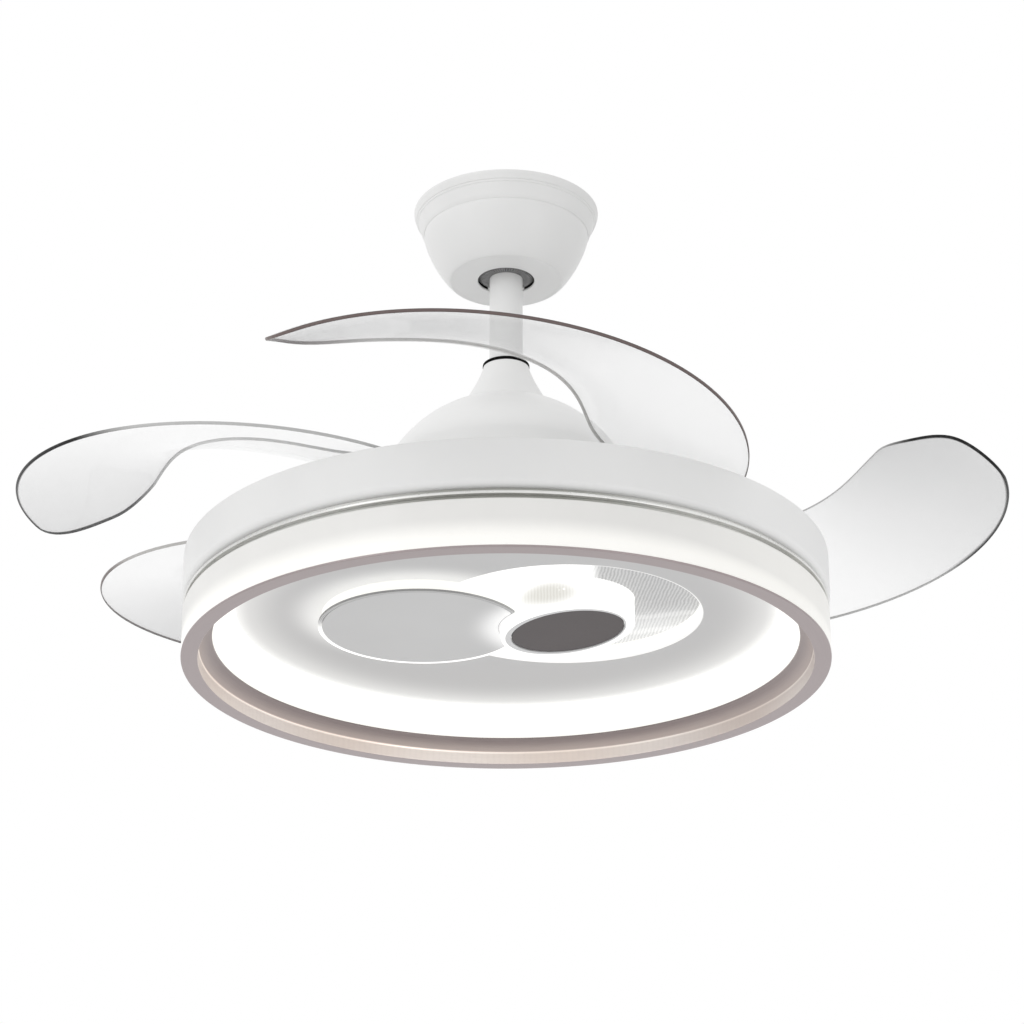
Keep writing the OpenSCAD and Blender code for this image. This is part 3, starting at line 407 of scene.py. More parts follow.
def discFinish():
    disc = Finish("greyDisc", tones["disc"], 0.38, **glowing)
    # painted light: the disc paler near the lit drum
    drumSpill = disc.radius("drum").ease(0.088, 0.052)
    cloud = disc.grain(12.0)
    disc.colour(cloud.ease(0.3, 0.7), tones["disc"], dim(tones["disc"], 0.975))
    disc.light(drumSpill * drumSpill * 0.42, black, (1.0, 0.995, 0.99))
    disc.bump(disc.grain(820.0), 0.08)
    return disc.material


def capFinish():
    cap = Finish("darkCap", tones["cap"], 0.36, **{"Specular IOR Level": 0.3})
    across, deep, up = cap.axes()
    grain = cap.grain(900.0)
    cloud = cap.grain(20.0)
    # painted shadow: a black line round the cap's edge on the near left
    rimShadow = cap.radius("drum").ease(0.0428, 0.0434) * (across * -0.7 - deep).ease(-0.035, 0.0)
    base = cap.mix(cloud.ease(0.3, 0.7), tones["cap"], dim(tones["cap"], 1.1))
    cap.colour(rimShadow, base, (0.003, 0.003, 0.003))
    cap.vary(grain, 0.36, 0.1)
    cap.bump(grain, 0.06)
    return cap.material


def lensFinish():  # rippled clear roof of the round recess: bright over the lamp, grey to the right of the drum, with painted light towards the far side and in bands, and painted shade along the ripples
    lens = Finish("rippledAcrylic", (0.60, 0.60, 0.60), 0.22, **glowing)
    across, deep, up = lens.axes()
    plain = across.ease(0.074, 0.058)
    far = deep.ease(0.000, 0.062)
    band = (deep * 190.0 + across * 60.0 + lens.grain(40.0) * 2.0).wave().ease(0.2, 1.0)
    band = band * deep.ease(-0.005, 0.02)
    fleck = lens.grain(420.0, 3.0, 0.7)
    curtain = (across * 2300.0 + deep * 240.0 + lens.grain(60.0) * 9.0).wave() * 0.5 + 0.5
    streak = (curtain * 0.6 + fleck * 0.6).ease(0.2, 0.95)
    lens.colour(streak, (0.44, 0.44, 0.445), (0.60, 0.60, 0.605))
    light = (far * 0.27 + band * 0.10 + streak * 0.05).high(plain)
    lens.light(light, black, (0.95, 0.95, 0.93))
    lens.bump(curtain + fleck * 0.5, 0.4, 0.0005)
    return lens.material


def marked(kit, *names):  # values stored on the mesh
    return [Wire(kit, kit.make("ShaderNodeAttribute", {"attribute_name": name}).outputs["Fac"]) for name in names]


def outerPart(along, across, start):  # the outer edge from start outwards, and the tip
    tip = along.ease(0.90, 0.96) * across.ease(1.05, 0.8, 0.3, 1.0)
    return (across.ease(0.6, 0.3) * along.ease(start, start + 0.12)).high(tip)


def acrylicFinish():  # blades: clear at the root and greyer towards the tip, with painted shade along the outer edges and per-blade painted light and shade from stored values
    blade = Finish("clearAcrylic", (0.9, 0.9, 0.9), 0.07, **{"Alpha": 0.2, "IOR": 1.49})
    along, across, up = blade.axes(blade.uv)
    depth, veil, rim, line, start = marked(blade, "depth", "veil", "rim", "line", "start")
    tone = blade.get("ShaderNodeValToRGB", {"stops": [
        (0.0, (0.93, 0.93, 0.93)), (0.45, (0.89, 0.89, 0.895)), (0.55, (0.73, 0.73, 0.735)),
        (0.65, (0.615, 0.615, 0.62)), (0.80, (0.53, 0.53, 0.535)), (1.0, (0.465, 0.465, 0.47))]}, {0: along})
    cloud = blade.grain(14.0)
    body = along.ease(0.25, 1.05, 0.09, 0.37) * depth + veil * (1.0 - along * 0.55)
    # painted shade: a dark band along the outer edge and the tip, standing in for refraction
    dark = (rim / line).ease(1.1, 0.5) * outerPart(along, across, start)
    blade.colour(dark, tone, (0.03, 0.028, 0.028))
    blade.feed("Alpha", (body * along.ease(-0.03, 0.16, 0.45, 1.0) + (cloud - 0.5) * 0.02) * (1.0 - dark) + dark * 0.8)
    blade.feed("Roughness", 0.05 + cloud * 0.05)
    return blade.material


def bladeEdgeFinish(name, dark, light):
    # painted shade: the edge faces dark on the outer part and the tip, standing in for refraction
    edge = Finish(name, dark, 0.35, **{"IOR": 1.49, "Specular IOR Level": 0.2})
    along, across, up = edge.axes(edge.uv)
    grain = edge.grain(300.0)
    shade = (outerPart(along, across, marked(edge, "start")[0]) * (0.9 + grain * 0.2)).low(1.0)
    edge.colour(shade, light, dark)
    return edge.material


sceneSetup()
print("camera and lights ready")
look = {
    "paint": paintFinish(), "panPaint": paintFinish("panPaint", bright=0.6),
    "plastic": mouldedFinish("whiteMoulding", tones["paint"]), "steel": steelFinish(),
    "brightSteel": steelFinish("brightSteel", (0.68, 0.68, 0.67), 0.22), "cast": castFinish(),
    "bracket": bracketFinish(), "rubber": rubberFinish(), "copper": copperFinish(), "magnet": magnetFinish(),
    "gasket": mouldedFinish("rodGasket", (0.003, 0.003, 0.003), 0.7, 0.05), "ball": ballFinish(),
    "side": sideFinish(), "glow": glowFinish(), "drumGlow": drumFinish(),
    "trim": champagneFinish(), "panel": panelFinish(), "disc": discFinish(), "discRim": discRimFinish(),
    "cap": capFinish(), "capRing": mouldedFinish("capRing", (0.66, 0.66, 0.665), 0.3), "lens": lensFinish(),
    "acrylic": acrylicFinish(), "groove": grooveFinish(),
    "brightRing": steelFinish("brightRing", (0.80, 0.80, 0.78), 0.3),
    "blackEdgeShade": bladeEdgeFinish("darkBladeEdge", (0.006, 0.006, 0.006), (0.50, 0.50, 0.495)),
    "brownEdgeShade": bladeEdgeFinish("brownBladeEdge", (0.15, 0.115, 0.11), (0.50, 0.49, 0.475)),
}
print("finishes ready:", len(look))


def meshOf(bm, name, aim=True):  # turns a bmesh into a mesh, its faces aimed outwards
    if aim:
        bmesh.ops.recalc_face_normals(bm, faces=bm.faces)
    mesh = bpy.data.meshes.new(name)
    bm.to_mesh(mesh)
    bm.free()
    return mesh


def worldAndFloor():
    world = bpy.data.worlds.new("studioWorld")
    bpy.context.scene.world = world
    world.use_nodes = True
    kit = Kit(world.node_tree)
    back = world.node_tree.nodes["Background"]
    aim = kit.make("ShaderNodeSeparateXYZ", sockets={0: kit.make("ShaderNodeTexCoord").outputs["Generated"]})
    x, y, z = [Wire(kit, out) for out in aim.outputs]
    level = studio["fill"] - x * studio["leftPull"] + z * studio["topPull"] - y * studio["frontPull"]
    paths = kit.make("ShaderNodeLightPath")
    seen = Wire(kit, paths.outputs["Is Camera Ray"]).high(Wire(kit, paths.outputs["Is Glossy Ray"]))
    seen = seen.high(Wire(kit, paths.outputs["Is Transmission Ray"]))
    kit.tree.links.new((seen + (1.0 - seen) * level).out, back.inputs["Strength"])
    back.inputs["Color"].default_value = (1.0, 1.0, 1.0, 1.0)
    bm = bmesh.new()
    bmesh.ops.create_circle(bm, cap_ends=True, segments=96, radius=studio["floorRadius"])
    mesh = meshOf(bm, "roomFloor", aim=False)
    mesh.transform(Matrix.Translation((0.0, 0.0, studio["floorDrop"])))
    floor = placed("roomFloor", mesh)
    pale = Finish("paleFloor", (0.93, 0.93, 0.93), 0.8)
    pale.colour(pale.grain(3.0), (0.93, 0.93, 0.93), (0.95, 0.95, 0.95))
    mesh.materials.append(pale.material)


worldAndFloor()


# mesh helpers, all in millimetres above the light's lowest face

def settle(mesh, name, finish, node=None, body="hanging_frame", angle=38.0, weighted=True):
    # puts a mesh made in millimetres in its place and gives it to its body; finish may be several names
    mesh.transform(Matrix.Scale(0.001, 4) @ Matrix.Translation((0.0, 0.0, -fanDrop)))
    for key in [finish] if isinstance(finish, str) else finish:
        mesh.materials.append(look[key])
    mesh.polygons.foreach_set("use_smooth", [True] * len(mesh.polygons))
    mesh.set_sharp_from_angle(angle=radians(angle))
    piece = placed(name, mesh)
    if weighted:
        modifier = piece.modifiers.new("weighted", "WEIGHTED_NORMAL")
        modifier.keep_sharp = True
        piece = baked(piece)
    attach(piece, body)
    if node:
        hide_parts(node)


def baked(piece):  # turns the evaluated object into a plain mesh object of the same name
    graph = bpy.context.evaluated_depsgraph_get()
    graph.update()
    mesh = bpy.data.meshes.new_from_object(piece.evaluated_get(graph), preserve_all_data_layers=True,
                                           depsgraph=graph)
    name = piece.name
    bpy.data.objects.remove(piece)
    return placed(name, mesh)


def softened(points):  # rounds each corner whose third value is set
    steps, out = 4, []
    for k, point in enumerate(points):
        here = Vector(point[:2])
        before = Vector(points[k - 1][:2]) - here
        after = Vector(points[(k + 1) % len(points)][:2]) - here
        size = point[2] if len(point) > 2 else 0.0
        if size <= 0.0:
            out.append((here.x, here.y))
            continue
        cut = min(size, before.length * 0.48, after.length * 0.48)
        start, end = here + before.normalized() * cut, here + after.normalized() * cut
        for i in range(steps + 1):
            t = i / steps
            q = start * (1 - t) ** 2 + here * (2 * t * (1 - t)) + end * t * t
            out.append((q.x, q.y))
    return out


def turnedMesh(name, profile, centre=(0.0, 0.0), steps=192, arc=None):
    points = softened(profile)
    bm = bmesh.new()
    first, last = arc or (0.0, 360.0)
    count = steps if arc is None else steps + 1
    angles = [radians(first + (last - first) * i / steps) for i in range(count)]
    rings = []
    for r, z in points:
        if r < 1e-4:
            rings.append([bm.verts.new((centre[0], centre[1], z))] * count)
        else:
            rings.append([bm.verts.new((centre[0] + r * cos(a), centre[1] + r * sin(a), z))
                          for a in angles])
    for k in range(len(points)):
        one, two = rings[k - 1], rings[k]
        for i in range(steps):
            j = (i + 1) % count
            corners = []
            for vert in (one[i], one[j], two[j], two[i]):
                if vert not in corners:
                    corners.append(vert)
            if len(corners) > 2:
                bm.faces.new(corners)
    if arc is not None:
        for i in (0, count - 1):
            bm.faces.new([ring[i] for ring in rings])
    return meshOf(bm, name)


def turned(name, profile, finish, node, slot, body="hanging_frame", **shape):
    settle(turnedMesh(name, profile, **shape), name, finish, node, body)


def joinRows(bm, rows, closed):  # faces between rows of vertices; closed joins the last row to the first
    for k in range(0 if closed else 1, len(rows)):
        one, two = rows[k - 1], rows[k]
        for i in range(len(one)):
            j = (i + 1) % len(one)
            bm.faces.new((one[i], one[j], two[j], two[i]))


def rowsMesh(name, rows, closed=True):  # joins rows of points; both ends get a lid where it isn't closed
    bm = bmesh.new()
    rings = [[bm.verts.new(point) for point in row] for row in rows]
    joinRows(bm, rings, closed)
    if not closed:
        bm.faces.new(rings[0])
        bm.faces.new(rings[-1])
        bmesh.ops.triangulate(bm, faces=[f for f in bm.faces if len(f.verts) > 4])
    return meshOf(bm, name)


def ringBetween(name, inner, outer, low, high, rows=10, steps=220, soft=0.3):
    # flat sheet between two circles that don't share a centre: (x, radius) each

    def row(share, z, shrink=0.0):
        line, ri, ro = [], inner[1] + shrink, outer[1] - shrink
        for a in [2 * pi * i / steps for i in range(steps)]:
            x = (inner[0] + ri * cos(a)) * (1 - share) + (outer[0] + ro * cos(a)) * share
            line.append((x, (ri * (1 - share) + ro * share) * sin(a), z))
        return line

    shares = [k / rows for k in range(rows + 1)]
    sheet = [row(k, low, soft) for k in shares] + [row(1.0, low + soft), row(1.0, high - soft)]
    sheet += [row(1 - k, high, soft) for k in shares] + [row(0.0, high - soft), row(0.0, low + soft)]
    return rowsMesh(name, sheet)


def edgeKeys(n, m):  # keys round the edge of a grid of n by m cells
    keys = [(i, 0) for i in range(n + 1)] + [(n, j) for j in range(1, m + 1)]
    return keys + [(i, m) for i in range(n - 1, -1, -1)] + [(0, j) for j in range(m - 1, 0, -1)]


# canopy, hanger and rod

top = {"radius": 67.3, "straight": 22.5, "depth": 62.0, "flat": 45.5, "bulge": 1.27, "hole": 23.0, "wall": 1.5,
       "ring": 75.7, "ringDepth": 21.0, "rod": 13.5, "rodBore": 11.5, "rodLow": 232.0, "rodHigh": 376.0,
       "coverTop": 18.3, "coverFoot": 38.0, "coverLow": 217.8, "coverHigh": 258.0}
ball = {"centre": 353.8, "radius": 27.0, "bore": 13.55, "below": 16.3, "above": 20.0, "foot": 19.5}


def upperPieces():
    t = top
    corner, bowl = t["radius"] - t["flat"], t["depth"] - t["straight"]

    def bowlPoint(inset, a):
        a, k = radians(a), 2 / t["bulge"]
        x, z = t["flat"] + corner * cos(a) ** k, fanDrop - t["straight"] - bowl * sin(a) ** k
        return x - inset * min(1.0, 1.4 * cos(a)), z + inset * sin(a)

    low, wall, hole, flat = fanDrop - t["depth"], t["wall"], t["hole"], t["flat"]
    shell = [(t["radius"], fanDrop)] + [bowlPoint(0.0, a) for a in range(0, 83, 4)]
    shell += [(flat, low, 1.6), (flat - 2.6, low + 0.5, 1.0), (hole + 0.6, low + 0.5, 0.4), (hole, low + 0.9, 0.3),
              (hole, low + wall + 0.5, 0.2), (flat - wall, low + wall + 0.5)]
    shell += [bowlPoint(wall, a) for a in range(78, -1, -6)] + [(t["radius"] - wall, fanDrop)]
    turned("canopyShell", shell, "paint", "canopy", "white_paint", "ceiling_mount")
    r, d, inside, z = t["ring"], t["ringDepth"], t["radius"] + 0.04, fanDrop
    ring = [(r, z), (r, z - 1.6, 1.2), (r - 1.7, z - 6.6, 0.5), (r - 2.5, z - 7.1, 0.4), (r - 2.8, z - 8.4, 0.4),
            (r - 3.5, z - 8.9, 0.4), (r - 6.9, z - d + 2.4, 2.2), (inside + 0.08, z - d, 0.2), (inside, z - d + 0.6),
            (inside, z - d + 4.0), (r - 5.4, z - 10.0), (r - 3.4, z - 3.0), (r - 3.4, z)]
    turned("canopyRing", ring, "plastic", "canopy_ring", "white_plastic", "ceiling_mount")
    rod = [(t["rod"], t["rodLow"], 0.4), (t["rod"], t["rodHigh"], 0.5), (t["rodBore"], t["rodHigh"], 0.3),
           (t["rodBore"], t["rodLow"], 0.3)]
    turned("rod", rod, "paint", "downrod", "white_paint", steps=128)
    tall, steps, bore = t["coverHigh"] - t["coverLow"], 14, t["rod"] + 0.3
    out = [(t["coverTop"] + (t["coverFoot"] - t["coverTop"]) * (1 - k / steps) ** 1.3,
            t["coverLow"] + k * tall / steps) for k in range(steps + 1)]
    cover = [(out[0][0] - 0.2, out[0][1], 0.3)] + out[1:-1] + [(*out[-1], 0.8), (bore, out[-1][1], 0.3)]
    cover += [(max(x - 1.9, bore), z - 1.2) for x, z in reversed(out[1:])] + [(out[0][0] - 2.2, out[0][1])]
    turned("couplingCover", cover, "paint", "coupling_cover", "white_paint", steps=128)
    gasket = [(t["rod"] + 0.05, 257.6), (t["coverTop"] - 0.2, 257.0), (t["coverTop"] + 0.6, 257.2, 0.3),
              (t["coverTop"] + 0.5, 259.9, 0.7), (t["rod"] + 0.05, 260.1, 0.2)]
    turned("rodGasket", gasket, "gasket", "coupling_gasket", "black_rubber", steps=128)


def ballPiece():
    centre, r, bore, below, above, foot = ball.values()
    low, high, steps = centre - below, centre + above, 24
    a0, a1 = asin(-below / r), asin(above / r)
    angles = [a0 + (a1 - a0) * k / steps for k in range(steps + 1)]
    profile = [(r * cos(a), centre + r * sin(a)) for a in angles]
    profile += [(bore, high, 0.4), (bore, low, 0.4)]
    profile[:2] = [(foot, low, 0.4), (foot + 0.9, low + 0.8, 0.4)]
    turned("hangerBall", profile, "ball", "hanger_ball", "ball_grey", steps=144)


upperPieces()
ballPiece()
print("canopy, ball and rod done")


# motor dome

dome = {"radius": 95.0, "foot": 124.0, "shoulder": 163.1, "top": 216.0, "wall": 1.8, "neck": 30.0,
        "crown": ((32.7, 216.0), (52.9, 223.1), (95.0, 181.7), (95.0, 163.1))}  # curve from the top to the shoulder


def domePoint(t, inset):
    u = 1 - t
    shares = (u ** 3, 3 * u * u * t, 3 * u * t * t, t ** 3)
    x, z = [sum(k * point[axis] for k, point in zip(shares, dome["crown"])) for axis in (0, 1)]
    return x - inset * t, z - inset * (1 - t)


def domePiece():
    foot, big, wall, shoulder, top = [dome[k] for k in ("foot", "radius", "wall", "shoulder", "top")]
    steps = 24
    profile = [(big, foot, 0.5), (big, shoulder)] + [domePoint(k / steps, 0.0) for k in range(steps - 1, 0, -1)]
    for k in (10, 16):  # two fine moulded lines
        profile[k] = (profile[k][0] - 0.25, profile[k][1] - 0.25)
    profile += [(*dome["crown"][0], 0.8), (dome["neck"], top, 0.5), (dome["neck"], top - wall, 0.3)]
    profile += [domePoint(k / steps, wall) for k in range(steps)]
    profile += [(big - wall, shoulder), (big - wall, foot, 0.4)]
    turned("motorDome", profile, "paint", "motor_dome", "white_paint", "rotor")


domePiece()
print("dome done")


# light body

lamp = {"radius": 250.0, "side": 37.6, "sideWall": 2.5, "groove": 8.4, "pan": 36.8, "panRadius": 251.0,
        "panWall": 2.0, "lip": 6.0, "dip": 4.8, "beads": (205.0, 160.0), "trimWidth": 13.1, "trimWall": 10.5,
        "trimSheet": 1.5, "chamfer": 10.3, "chamferRise": 8.0, "cone": 209.4, "panel": 44.0, "recess": 106.0,
        "recessDepth": 15.0, "disc": 80.0, "discDrop": 10.5, "drum": 52.0, "drumDrop": 13.4, "drumTilt": 6.5,
        "cap": 44.0}


def lampShell():
    p = lamp
    panLow = p["side"] + p["groove"]
    panTop = panLow + p["pan"]
    r, w, lip, dip = p["panRadius"], p["panWall"], p["lip"], panTop - p["dip"]

    def lipArc(radius, first, step):
        return [(r - lip + radius * cos(a), panLow + lip + radius * sin(a))
                for a in [radians(first + step * k) for k in range(11)]]

    pan = [(r - 13.0, panLow, 0.3)] + lipArc(lip, -90, 9) + [(r, panTop, 1.0), (r - 8.0, panTop, 0.9),
                                                             (r - 9.2, dip, 1.2)]
    for bead in p["beads"]:  # two shallow stiffening beads pressed in the top
        pan += [(bead + x, dip + z, soft) for x, z, soft in
                ((5.0, 0.0, 1.6), (2.6, 0.9, 1.2), (-2.6, 0.9, 1.2), (-5.0, 0.0, 1.6))]
    pan += [(65.0, dip, 1.2), (63.0, panTop, 0.9), (30.0, panTop, 0.4), (30.0, panTop - w, 0.4), (61.8, panTop - w),
            (63.8, dip - w), (r - 7.8, dip - w), (r - 6.6, panTop - w), (r - w, panTop - w)]
    pan += lipArc(lip - w, 0, -9) + [(r - 13.0, panLow + w, 0.3)]
    turned("lampPan", pan, "panPaint", "lamp_pan", "white_paint", steps=288)
    s, g, z = p["radius"], p["groove"], p["side"]
    band = [(s - 12, z), (s - 4, z), (s - 4, z + g), (s - 12, z + g)]
    turned("grooveBand", band, "groove", "bright_ring", "groove_metal", steps=256)
    bead = [(s - 3.9, z + 2.9, 0.4), (s, z + 2.9, 0.9), (s, z + 5.4, 0.9), (s - 3.9, z + 5.4, 0.4)]
    turned("brightRing", bead, "brightRing", None, "groove_metal", steps=256)
    t, k = p["trimSheet"], p["sideWall"]
    side = [(s - k, t + 0.1), (s - 0.1, t + 0.1, 0.4), (s, z - 0.2, 1.6), (s - 11, z - 0.2, 0.4), (s - 11, z - k),
            (s - k, z - k)]
    turned("sideDiffuser", side, "side", "side_diffuser", "frosted_acrylic", steps=256)
    inner = s - p["trimWidth"]
    rise = p["trimWall"] + p["chamferRise"]
    end, glowLow = inner - p["chamfer"], rise + 1.4
    trim = [(inner, 0.0, 0.7), (s, 0.0, 0.9), (s, t, 0.4), (inner + t, t), (inner + t, p["trimWall"] + 0.8),
            (end + 1.6, glowLow), (end, glowLow, 0.2), (end, rise, 0.7), (inner - 5.5, rise - 2.6, 3.0),
            (inner, p["trimWall"], 1.8)]
    turned("trimRing", trim, "trim", "trim_ring", "champagne", steps=288)
    glow = [(end, glowLow, 0.2), (end + 3.2, glowLow, 0.2), (p["cone"] + 3.2, p["panel"]),
            (p["cone"], p["panel"], 0.4)]
    turned("glowRing", glow, "glow", "glow_ring", "frosted_acrylic", steps=256)


def lampInside():
    p, z = lamp, lamp["panel"]
    recessX, discX, drumX = centres["recess"], centres["disc"], centres["drum"]
    panel = ringBetween("centrePanel", (recessX, p["recess"] + 0.1), (0.0, p["cone"] + 3.2), z, z + 2.2)
    settle(panel, "centrePanel", "panel", "centre_panel")
    roof = z + p["recessDepth"]
    r = p["recess"]
    cup = [(r, z + 2.3), (r + 6.0, z + 2.3), (r + 6.0, z + 4.0), (r + 2.0, z + 4.0),
           (r + 2.0, roof + 1.5), (0.0, roof + 1.5), (0.0, roof), (r, roof, 2.5)]
    turned("recessCup", cup, "glow", "recess_cup", "frosted_acrylic", centre=(recessX, 0.0))
    cutR, gap, big = p["drum"] + 1.5, drumX - discX, p["disc"]

    def discRow(radius, inset, height, n=150, m=40):  # the disc's outline, which stops short of the drum
        cutRadius = cutR + inset
        x = (radius ** 2 - cutRadius ** 2 + gap ** 2) / (2 * gap)
        a = atan2(sqrt(radius ** 2 - x * x), x)
        b = atan2(sqrt(radius ** 2 - x * x), gap - x)
        outer = [a + (2 * pi - 2 * a) * i / n for i in range(n + 1)]
        inner = [-b + 2 * b * i / m for i in range(1, m)]
        return ([(discX + radius * cos(q), radius * sin(q), height) for q in outer]
                + [(drumX - cutRadius * cos(q), cutRadius * sin(q), height) for q in inner])

    d = z - p["discDrop"]
    face = big - 3.2
    plate = [discRow(face - 0.2, 1.4, d + 0.15), discRow(face, 1.2, d + 0.4), discRow(face, 1.2, d + 1.9)]
    settle(rowsMesh("discPlate", plate, closed=False), "discPlate", "disc", "disc_plate")
    rim = [discRow(face + 0.35, 0.85, d + 0.3), discRow(face + 0.6, 0.6, d), discRow(big - 0.3, 0.3, d),
           discRow(big, 0.0, d + 0.4), discRow(big, 0.0, d + 1.9), discRow(face + 0.35, 0.85, d + 1.9)]
    settle(rowsMesh("discRim", rim), "discRim", "discRim", None)
    # lit wall between the disc and the panel, open where the drum stands
    wallR = big - 3.0
    x = (wallR ** 2 - cutR ** 2 + gap ** 2) / (2 * gap)
    half = degrees(acos(x / wallR)) + 0.6
    wall = [(wallR, d + 2.0), (wallR, z), (wallR - 2.5, z), (wallR - 2.5, d + 2.0)]
    turned("discWall", wall, "glow", None, "frosted_acrylic", centre=(discX, 0.0),
           arc=(half, 360.0 - half), steps=150)
    # drum with its slanting lower end, ring and dark cap
    tilt = tan(radians(p["drumTilt"]))
    face, steps, out, cap = z - p["drumDrop"], 160, p["drum"], p["cap"]

    def drumRow(radius, lift):  # lift is the height over the slanting end, or None at the roof
        row = []
        for a in [2 * pi * i / steps for i in range(steps)]:
            x = radius * cos(a)
            row.append((drumX + x, radius * sin(a), roof if lift is None else face + x * tilt + lift))
        return row

    drum = [drumRow(*pair) for pair in (
        (out, None), (out, 1.2), (out - 0.25, 0.35), (out - 0.9, 0.0), (out - 2.2, 0.0), (cap + 1.0, 0.5),
        (cap + 1.0, 1.2), (out - 2.5, 1.2), (out - 2.5, None))]
    settle(rowsMesh("drumWall", drum), "drumWall", "drumGlow", "light_tube")
    ring = ringBetween("capRing", (0.0, cap + 0.5), (-1.7, out - 4.6), -0.1, 2.8, rows=2, steps=steps)
    lid = turnedMesh("darkCap", [(0.0, 0.62), (cap, 0.62, 0.5), (cap, 3.0), (0.0, 3.0)], steps=steps)
    for mesh, finish, node, slot in ((ring, "capRing", "tube_ring", "panel_grey"),
                                     (lid, "cap", "tube_cap", "dark_cap")):
        mesh.transform(Matrix.Translation((drumX, 0.0, face)) @ Matrix.Rotation(radians(-p["drumTilt"]), 4, "Y"))
        settle(mesh, mesh.name, finish, node)


lampShell()
lampInside()
print("light body done")


# ripples of the recess roof, by Geometry Nodes

ripples = {"count": 2.3, "height": 0.3, "wander": 1.5}  # count in radians to the millimetre


def geometryTree(name, **kinds):  # a node group with the inputs named, and its Wires
    tree = bpy.data.node_groups.new(name, "GeometryNodeTree")
    tree.interface.new_socket("Geometry", in_out="INPUT", socket_type="NodeSocketGeometry")
    for label, kind in kinds.items():
        tree.interface.new_socket(label, in_out="INPUT", socket_type="NodeSocket" + kind)
    tree.interface.new_socket("Geometry", in_out="OUTPUT", socket_type="NodeSocketGeometry")
    kit = Kit(tree)
    return kit, {out.name: Wire(kit, out) for out in kit.make("NodeGroupInput").outputs if out.name}


def grown(name, mesh, kit, given, shape, **values):  # runs the tree on the mesh and gives the result's mesh
    solid = kit.get("GeometryNodeRealizeInstances", sockets={0: shape})
    final = kit.get("GeometryNodeSetMaterial", sockets={"Geometry": solid, "Material": given["finish"]})
    kit.tree.links.new(final.out, kit.make("NodeGroupOutput").inputs[0])
    piece = placed(name, mesh)
    modifier = piece.modifiers.new(kit.tree.name, "NODES")
    modifier.node_group = kit.tree
    for item in kit.tree.interface.items_tree:
        if item.item_type == "SOCKET" and item.in_out == "INPUT" and item.name in values:
            modifier[item.identifier] = values[item.name]
    piece.update_tag()
    ready = baked(piece)
    mesh = ready.data
    bpy.data.objects.remove(ready)
    mesh.materials.clear()
    return mesh


def rippleLens():
    p = lamp
    roof = p["panel"] + p["recessDepth"]
    flat = ringBetween("rippleLens", (centres["drum"], p["drum"] + 0.4), (centres["recess"], p["recess"] - 0.3),
                       roof - 2.2, roof - 0.02, rows=30, steps=480, soft=0.2)
    kit, given = geometryTree("rippleTree", count="Float", height="Float", wander="Float", finish="Material")
    place = kit.get("GeometryNodeInputPosition")
    split = kit.make("ShaderNodeSeparateXYZ", sockets={0: place})
    x, y, z = [Wire(kit, out) for out in split.outputs]
    swing = ((x + y * 0.1) * given["count"] + kit.noise(place, 0.09) * given["wander"] * 6.0).wave()
    lower = z.ease(roof - 1.0, roof - 1.6)  # only the lower face is rippled
    offset = kit.get("ShaderNodeCombineXYZ", sockets={2: (swing - 1.0) * given["height"] * lower * 0.5})
    moved = kit.get("GeometryNodeSetPosition", sockets={"Geometry": given["Geometry"], "Offset": offset})
    mesh = grown("rippleLens", flat, kit, given, moved, finish=look["lens"], **ripples)
    settle(mesh, "rippleLens", "lens", "ripple_lens", angle=60.0)


rippleLens()
print("rippled roof done")


# blades

blade = {"count": 5, "step": 72.0, "hinge": (89.8, -4.34), "centre": (76.65, -37.07), "edge": (194.6, 231.5, 218.8),
         "root": 101.19, "sweep": 141.6, "width": (92.2, 125.4, 125.6, 117.7, 66.0), "tipRound": 0.098,
         "tipPower": 2.3, "height": 128.5, "rise": 43.4, "endSag": 4.5, "sBend": -6.7, "edgeRise": 22.5,
         "edgeCurl": 8.2, "crown": -7.3, "crownGrow": 25.3, "twist": -14.4, "thick": 2.4, "soft": 0.8,
         "span": (115.0, 500.0),
         "cellsAlong": 120, "cellsAcross": 32, "rimRows": 5, "open": (14.4, -21.9, -17.6, 9.4, 0.0),
         # per blade: greyness, painted sheen, and width, start and colour of the painted dark edges, which paint each
         # blade's own light and shade
         "depth": (1.0, 0.8, 0.55, 0.8, 0.8), "veil": (0.0, 0.19, 0.08, 0.10, 0.05),
         "line": (2.2, 0.5, 1.6, 0.5, 0.5), "start": (0.56, 0.02, 0.42, 0.3, 0.3),
         "edges": ("blackEdgeShade", "brownEdgeShade", "blackEdgeShade", "brownEdgeShade", "brownEdgeShade")}


def bladeSkin(s, v):
    b = blade
    a, w = s - 0.5, v - 0.5
    e0, e1, e2 = b["edge"]
    reach = 2 * a * a * (e0 + e2 - 2 * e1) + a * (e2 - e0) + e1
    width = 0.0
    for i, size in enumerate(b["width"]):
        part = size
        for j in range(5):
            if j != i:
                part *= (s - j / 4) / ((i - j) / 4)
        width += part
    angle = radians(b["root"] - s * b["sweep"])
    middle = radians(b["centre"][1])
    r = reach - v * width
    z = (b["height"] + b["rise"] * a - 4 * b["endSag"] * a * a + 8 * b["sBend"] * a ** 3 + b["edgeRise"] * w
         + 8 * b["edgeCurl"] * w ** 3 + (b["crown"] + b["crownGrow"] * a) * (1 - 4 * w * w) + b["twist"] * a * w)
    return Vector((b["centre"][0] * cos(middle) + r * cos(angle),
                   b["centre"][0] * sin(middle) + r * sin(angle), z))


def skinNormal(s, v):
    across = bladeSkin(s, v + 0.01) - bladeSkin(s, v - 0.01)
    along = bladeSkin(s + 0.005, v) - bladeSkin(s - 0.005, v)
    return across.cross(along).normalized()


def skinOff(s, v, lift):
    return bladeSkin(s, v) + skinNormal(s, v) * lift


def tipEnd(v):
    power = blade["tipPower"]
    return 1 - blade["tipRound"] * (1 - (1 - min(1.0, abs(2 * v - 1)) ** power) ** (1 / power))


